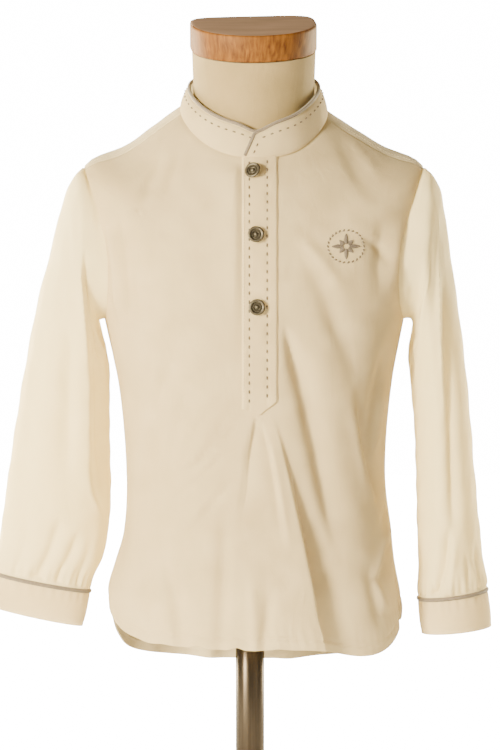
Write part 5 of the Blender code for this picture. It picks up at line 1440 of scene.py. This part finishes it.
def new_material(name, colour, roughness, metallic=0.0, sheen=0.0):
    """A material with its surface shader set, and its node tree."""
    material = bpy.data.materials.new(name)
    material.use_nodes = True
    tree = material.node_tree
    shader = tree.nodes["Principled BSDF"]
    shader.inputs["Base Color"].default_value = (*colour, 1.0)
    shader.inputs["Roughness"].default_value = roughness
    shader.inputs["Metallic"].default_value = metallic
    shader.inputs["Sheen Weight"].default_value = sheen
    shader.inputs["Sheen Roughness"].default_value = 0.6
    return material, tree, shader


def set_input(tree, item, name, value):
    """Sets an input of a node, or joins it to a pair of another node and the name of its output."""
    if isinstance(value, tuple) and isinstance(value[0], bpy.types.Node):
        tree.links.new(value[0].outputs[value[1]], item.inputs[name])
    else:
        item.inputs[name].default_value = value


def add_node(tree, kind, inputs=None, **settings):
    """A node with its settings and inputs."""
    item = tree.nodes.new("ShaderNode" + kind)
    for name, value in settings.items():
        setattr(item, name, value)
    for name, value in (inputs or {}).items():
        set_input(tree, item, name, value)
    return item


def add_noise(tree, inputs, stretch=(1, 1, 1)):
    """A noise texture over the object's own coordinates, stretched along its axes."""
    place = add_node(tree, "TexCoord")
    mapping = add_node(tree, "Mapping", {"Vector": (place, "Object"), "Scale": stretch})
    return add_node(tree, "TexNoise", {"Vector": (mapping, "Vector"), **inputs})


def add_bump(tree, item, height, strength, distance):
    """Lets a texture raise the surface of a shader, or of the bump before it."""
    bump = add_node(tree, "Bump", {"Height": height, "Strength": strength, "Distance": distance})
    set_input(tree, item, "Normal", (bump, "Normal"))
    return bump


def vary_colour(tree, shader, first, second, texture):
    """Lets a texture turn the base colour from the first colour to the second."""
    ramp = add_node(tree, "ValToRGB", {"Fac": (texture, "Fac")})
    ramp.color_ramp.elements[0].position = 0.3
    ramp.color_ramp.elements[0].color = (*first, 1.0)
    ramp.color_ramp.elements[1].position = 0.7
    ramp.color_ramp.elements[1].color = (*second, 1.0)
    set_input(tree, shader, "Base Color", (ramp, "Color"))


def mix_surfaces(tree, output, share, first, second):
    """Mixes two nodes' surfaces by a share, into the tree's output."""
    mix = add_node(tree, "MixShader", {"Fac": share, 1: first, 2: second})
    set_input(tree, tree.nodes[output], "Surface", (mix, "Shader"))


def woven_material(name, weave, first, second, through=0.0, glow_colour=(1.0, 1.0, 1.0)):
    """Woven cloth: crossing threads, slightly uneven in colour, that let a share of the light through."""
    material, tree, shader = new_material(name, first, weave.roughness, sheen=weave.sheen)
    along_cloth = (add_node(tree, "TexCoord"), "UV")
    wave_scale = 2 * math.pi / 20 / weave.pitch
    threads_of = {"Vector": along_cloth, "Scale": wave_scale, "Distortion": 0.6, "Detail Scale": 2.0}
    warp = add_node(tree, "TexWave", threads_of, bands_direction="X")
    weft = add_node(tree, "TexWave", threads_of, bands_direction="Y")
    slub = add_node(tree, "TexNoise", {"Vector": along_cloth, "Scale": SLUB_SCALE, "Detail": 3.0})
    threads = add_node(tree, "Math", {0: (warp, "Fac"), 1: (weft, "Fac")}, operation="MULTIPLY")
    uneven = add_node(tree, "Math", {0: (threads, "Value"), 1: (slub, "Fac")}, operation="ADD")
    crumple = add_noise(tree, {"Scale": CRUMPLE_SCALE, "Detail": 3.0, "Distortion": 0.8}, CRUMPLE_STRETCH)
    bump = add_bump(tree, shader, (uneven, "Value"), 0.6, weave.depth)
    add_bump(tree, bump, (crumple, "Fac"), 0.5, CRUMPLE)
    vary_colour(tree, shader, first, second, add_noise(tree, {"Scale": PATCH_SCALE, "Detail": 4.0}))
    if through:
        glow = add_node(tree, "BsdfTranslucent", {"Color": (*glow_colour, 1.0)})
        mix_surfaces(tree, "Material Output", through, (shader, "BSDF"), (glow, "BSDF"))
    return material


def thread_material(name, first, second, twist):
    """Twisted thread or covered cord, with slanting ridges."""
    material, tree, shader = new_material(name, first, 0.75, sheen=0.3)
    place = add_node(tree, "TexCoord")
    wave = add_node(tree, "TexWave", {"Vector": (place, "Object"), "Scale": twist, "Distortion": 1.0},
                    bands_direction="DIAGONAL")
    add_bump(tree, shader, (wave, "Fac"), 0.7, RELIEF)
    vary_colour(tree, shader, first, second, add_noise(tree, {"Scale": 700.0, "Detail": 3.0}))
    return material


def wood_material(name, first, second, stretch, roughness, coat):
    """Lacquered wood with its grain stretched along one axis."""
    material, tree, shader = new_material(name, first, roughness)
    shader.inputs["Coat Weight"].default_value = coat
    shader.inputs["Coat Roughness"].default_value = 0.3
    shader.inputs["Specular IOR Level"].default_value = 0.25
    grain = add_noise(tree, {"Scale": 1.0, "Detail": 6.0, "Distortion": 0.4}, stretch)
    vary_colour(tree, shader, first, second, grain)
    add_bump(tree, shader, (grain, "Fac"), 0.3, RELIEF)
    return material


def metal_material(name, first, second, roughness, stretch, scale):
    """Metal with faint brushing or casting marks."""
    material, tree, shader = new_material(name, first, roughness, metallic=1.0)
    marks = add_noise(tree, {"Scale": scale, "Detail": 4.0}, stretch)
    vary_colour(tree, shader, first, second, marks)
    spread = add_node(
        tree, "MapRange", {"Value": (marks, "Fac"), "To Min": roughness * 0.8, "To Max": roughness * 1.3})
    set_input(tree, shader, "Roughness", (spread, "Result"))
    return material


def add_light(light):
    """A broad round light that shines at the shirt's middle. One that names pieces reaches those alone."""
    data = bpy.data.lights.new(light.name, "AREA")
    data.shape = "DISK"
    data.size = light.size
    data.energy = light.energy
    data.color = WARM
    item = add_to_scene(light.name, data)
    item.location = light.place
    item.rotation_euler = (CAMERA_TARGET - Vector(light.place)).to_track_quat("-Z", "Y").to_euler()
    if light.reaches:
        lit = bpy.data.collections.new(light.name + "_reaches")
        for name in light.reaches:
            lit.objects.link(bpy.data.objects[name])
        item.light_linking.receiver_collection = lit


def add_floor():
    """A pale floor, plain and soft under the stand and burnt out to white further away."""
    material, tree, shader = new_material("floor_pale", (0.90, 0.90, 0.90), 0.9)
    vary_colour(tree, shader, (0.89, 0.89, 0.89), (0.91, 0.91, 0.91), add_noise(tree, {"Scale": 3.0}))
    place = add_node(tree, "TexCoord")
    away = add_node(tree, "VectorMath", {0: (place, "Object")}, operation="LENGTH")
    whiteness = add_node(
        tree, "MapRange", {"Value": (away, "Value"), "From Min": FLOOR_SOFT, "From Max": FLOOR_WHITE},
        interpolation_type="SMOOTHSTEP")
    path = add_node(tree, "LightPath")
    seen = add_node(
        tree, "Math", {0: (whiteness, "Result"), 1: (path, "Is Camera Ray")}, operation="MULTIPLY")
    white = add_node(tree, "Emission", {"Strength": BACKDROP})
    mix_surfaces(tree, "Material Output", (seen, "Value"), (shader, "BSDF"), (white, "Emission"))
    mesh = bpy.data.meshes.new("floor")
    rim = [(FLOOR_RADIUS * math.cos(a), FLOOR_RADIUS * math.sin(a), 0.0) for a in round_angles(FLOOR_STEPS)]
    mesh.from_pydata(rim, [], [list(range(FLOOR_STEPS))])
    mesh.materials.append(material)
    add_to_scene("floor", mesh)


def add_studio():
    """Warm light from all round before a white backdrop, the lights and the floor."""
    world = bpy.data.worlds.new("studio")
    world.use_nodes = True
    tree = world.node_tree
    around = tree.nodes["Background"]
    around.inputs["Color"].default_value = (*WARM, 1.0)
    around.inputs["Strength"].default_value = AROUND
    backdrop = add_node(tree, "Background", {"Strength": BACKDROP})
    path = add_node(tree, "LightPath")
    mix_surfaces(
        tree, "World Output", (path, "Is Camera Ray"), (around, "Background"), (backdrop, "Background"))
    bpy.context.scene.world = world
    for light in LIGHTS:
        add_light(light)
    add_floor()


def add_camera():
    data = bpy.data.cameras.new("camera")
    data.lens = CAMERA_LENS
    data.sensor_width = CAMERA_SENSOR
    item = add_to_scene("camera", data)
    away = Vector((0.0, -math.cos(CAMERA_ELEVATION), math.sin(CAMERA_ELEVATION)))
    item.location = CAMERA_TARGET + away * CAMERA_DISTANCE
    item.rotation_euler = (-away).to_track_quat("-Z", "Y").to_euler()
    bpy.context.scene.camera = item


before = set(bpy.data.objects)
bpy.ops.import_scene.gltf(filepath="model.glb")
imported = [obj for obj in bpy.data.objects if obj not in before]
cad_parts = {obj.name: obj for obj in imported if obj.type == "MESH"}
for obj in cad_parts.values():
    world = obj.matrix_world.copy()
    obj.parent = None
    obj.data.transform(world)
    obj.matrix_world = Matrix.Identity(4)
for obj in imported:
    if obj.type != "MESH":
        bpy.data.objects.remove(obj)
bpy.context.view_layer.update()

ivory_glow = (0.95, 0.90, 0.76)
cream = woven_material("ivory_cotton", COTTON, (0.73, 0.61, 0.41), (0.83, 0.705, 0.49), 0.5, ivory_glow)
# The back's cloth is a darker copy of the ivory cotton that lets less light through: its darker colours are
# painted shade, so the inside of the back below the front hem looks shaded.
shaded_back_cream = woven_material(
    "ivory_cotton_back", COTTON, (0.62, 0.52, 0.345), (0.70, 0.595, 0.41), 0.08, ivory_glow)
# The sleeves' cloth is a lighter copy of the ivory cotton, with a paler colour for the light it lets through:
# painted light that stands for the glow of the sleeves lit from behind.
painted_glow_cream = woven_material(
    "ivory_cotton_light", COTTON, (0.91, 0.825, 0.59), (0.96, 0.875, 0.64), 0.5, (0.98, 0.94, 0.80))
linen = woven_material("beige_linen", LINEN, (0.27, 0.205, 0.10), (0.33, 0.25, 0.13))
taupe = thread_material("taupe_piping", (0.12, 0.095, 0.078), (0.18, 0.145, 0.12), 260.0)
taupe_thread = thread_material("taupe_thread", (0.085, 0.065, 0.055), (0.14, 0.11, 0.09), 400.0)
ivory_thread = thread_material("ivory_thread", (0.70, 0.60, 0.42), (0.80, 0.70, 0.52), 400.0)
pewter = metal_material("pewter", (0.068, 0.060, 0.050), (0.14, 0.128, 0.107), 0.50, (1, 1, 1), 900.0)
steel = metal_material("brown_steel", (0.055, 0.045, 0.038), (0.085, 0.07, 0.06), 0.30, (1, 1, 0.02), 500.0)
side_wood = wood_material(
    "wood_side", (0.070, 0.022, 0.0035), (0.20, 0.080, 0.014), (420, 420, 14), 0.62, 0.0)
top_wood = wood_material("wood_top", (0.215, 0.145, 0.112), (0.30, 0.20, 0.16), (20, 120, 120), 0.6, 0.05)

rows = panel_rows()
make_panel("front_cloth", front_angles(rows), rows, cream, "front")
make_panel("back_cloth", back_angles(rows), rows, shaded_back_cream, "back")
for arm in ARMS:
    make_sleeve(arm, painted_glow_cream)
for arm in ARMS:
    make_cuff(arm, cream)
for arm in ARMS:
    make_cuff_piping(arm, taupe)
make_collar(cream)
make_collar_piping(taupe)
make_placket(cream)
make_under_placket(cream)
make_running_stitches(taupe_thread)
make_fine_stitches(ivory_thread)
make_motif(taupe_thread)
for stud in BUTTONS:
    make_button(stud, pewter)
make_form(linen)
make_cap(side_wood, top_wood)
make_stand(steel)

add_studio()
add_camera()
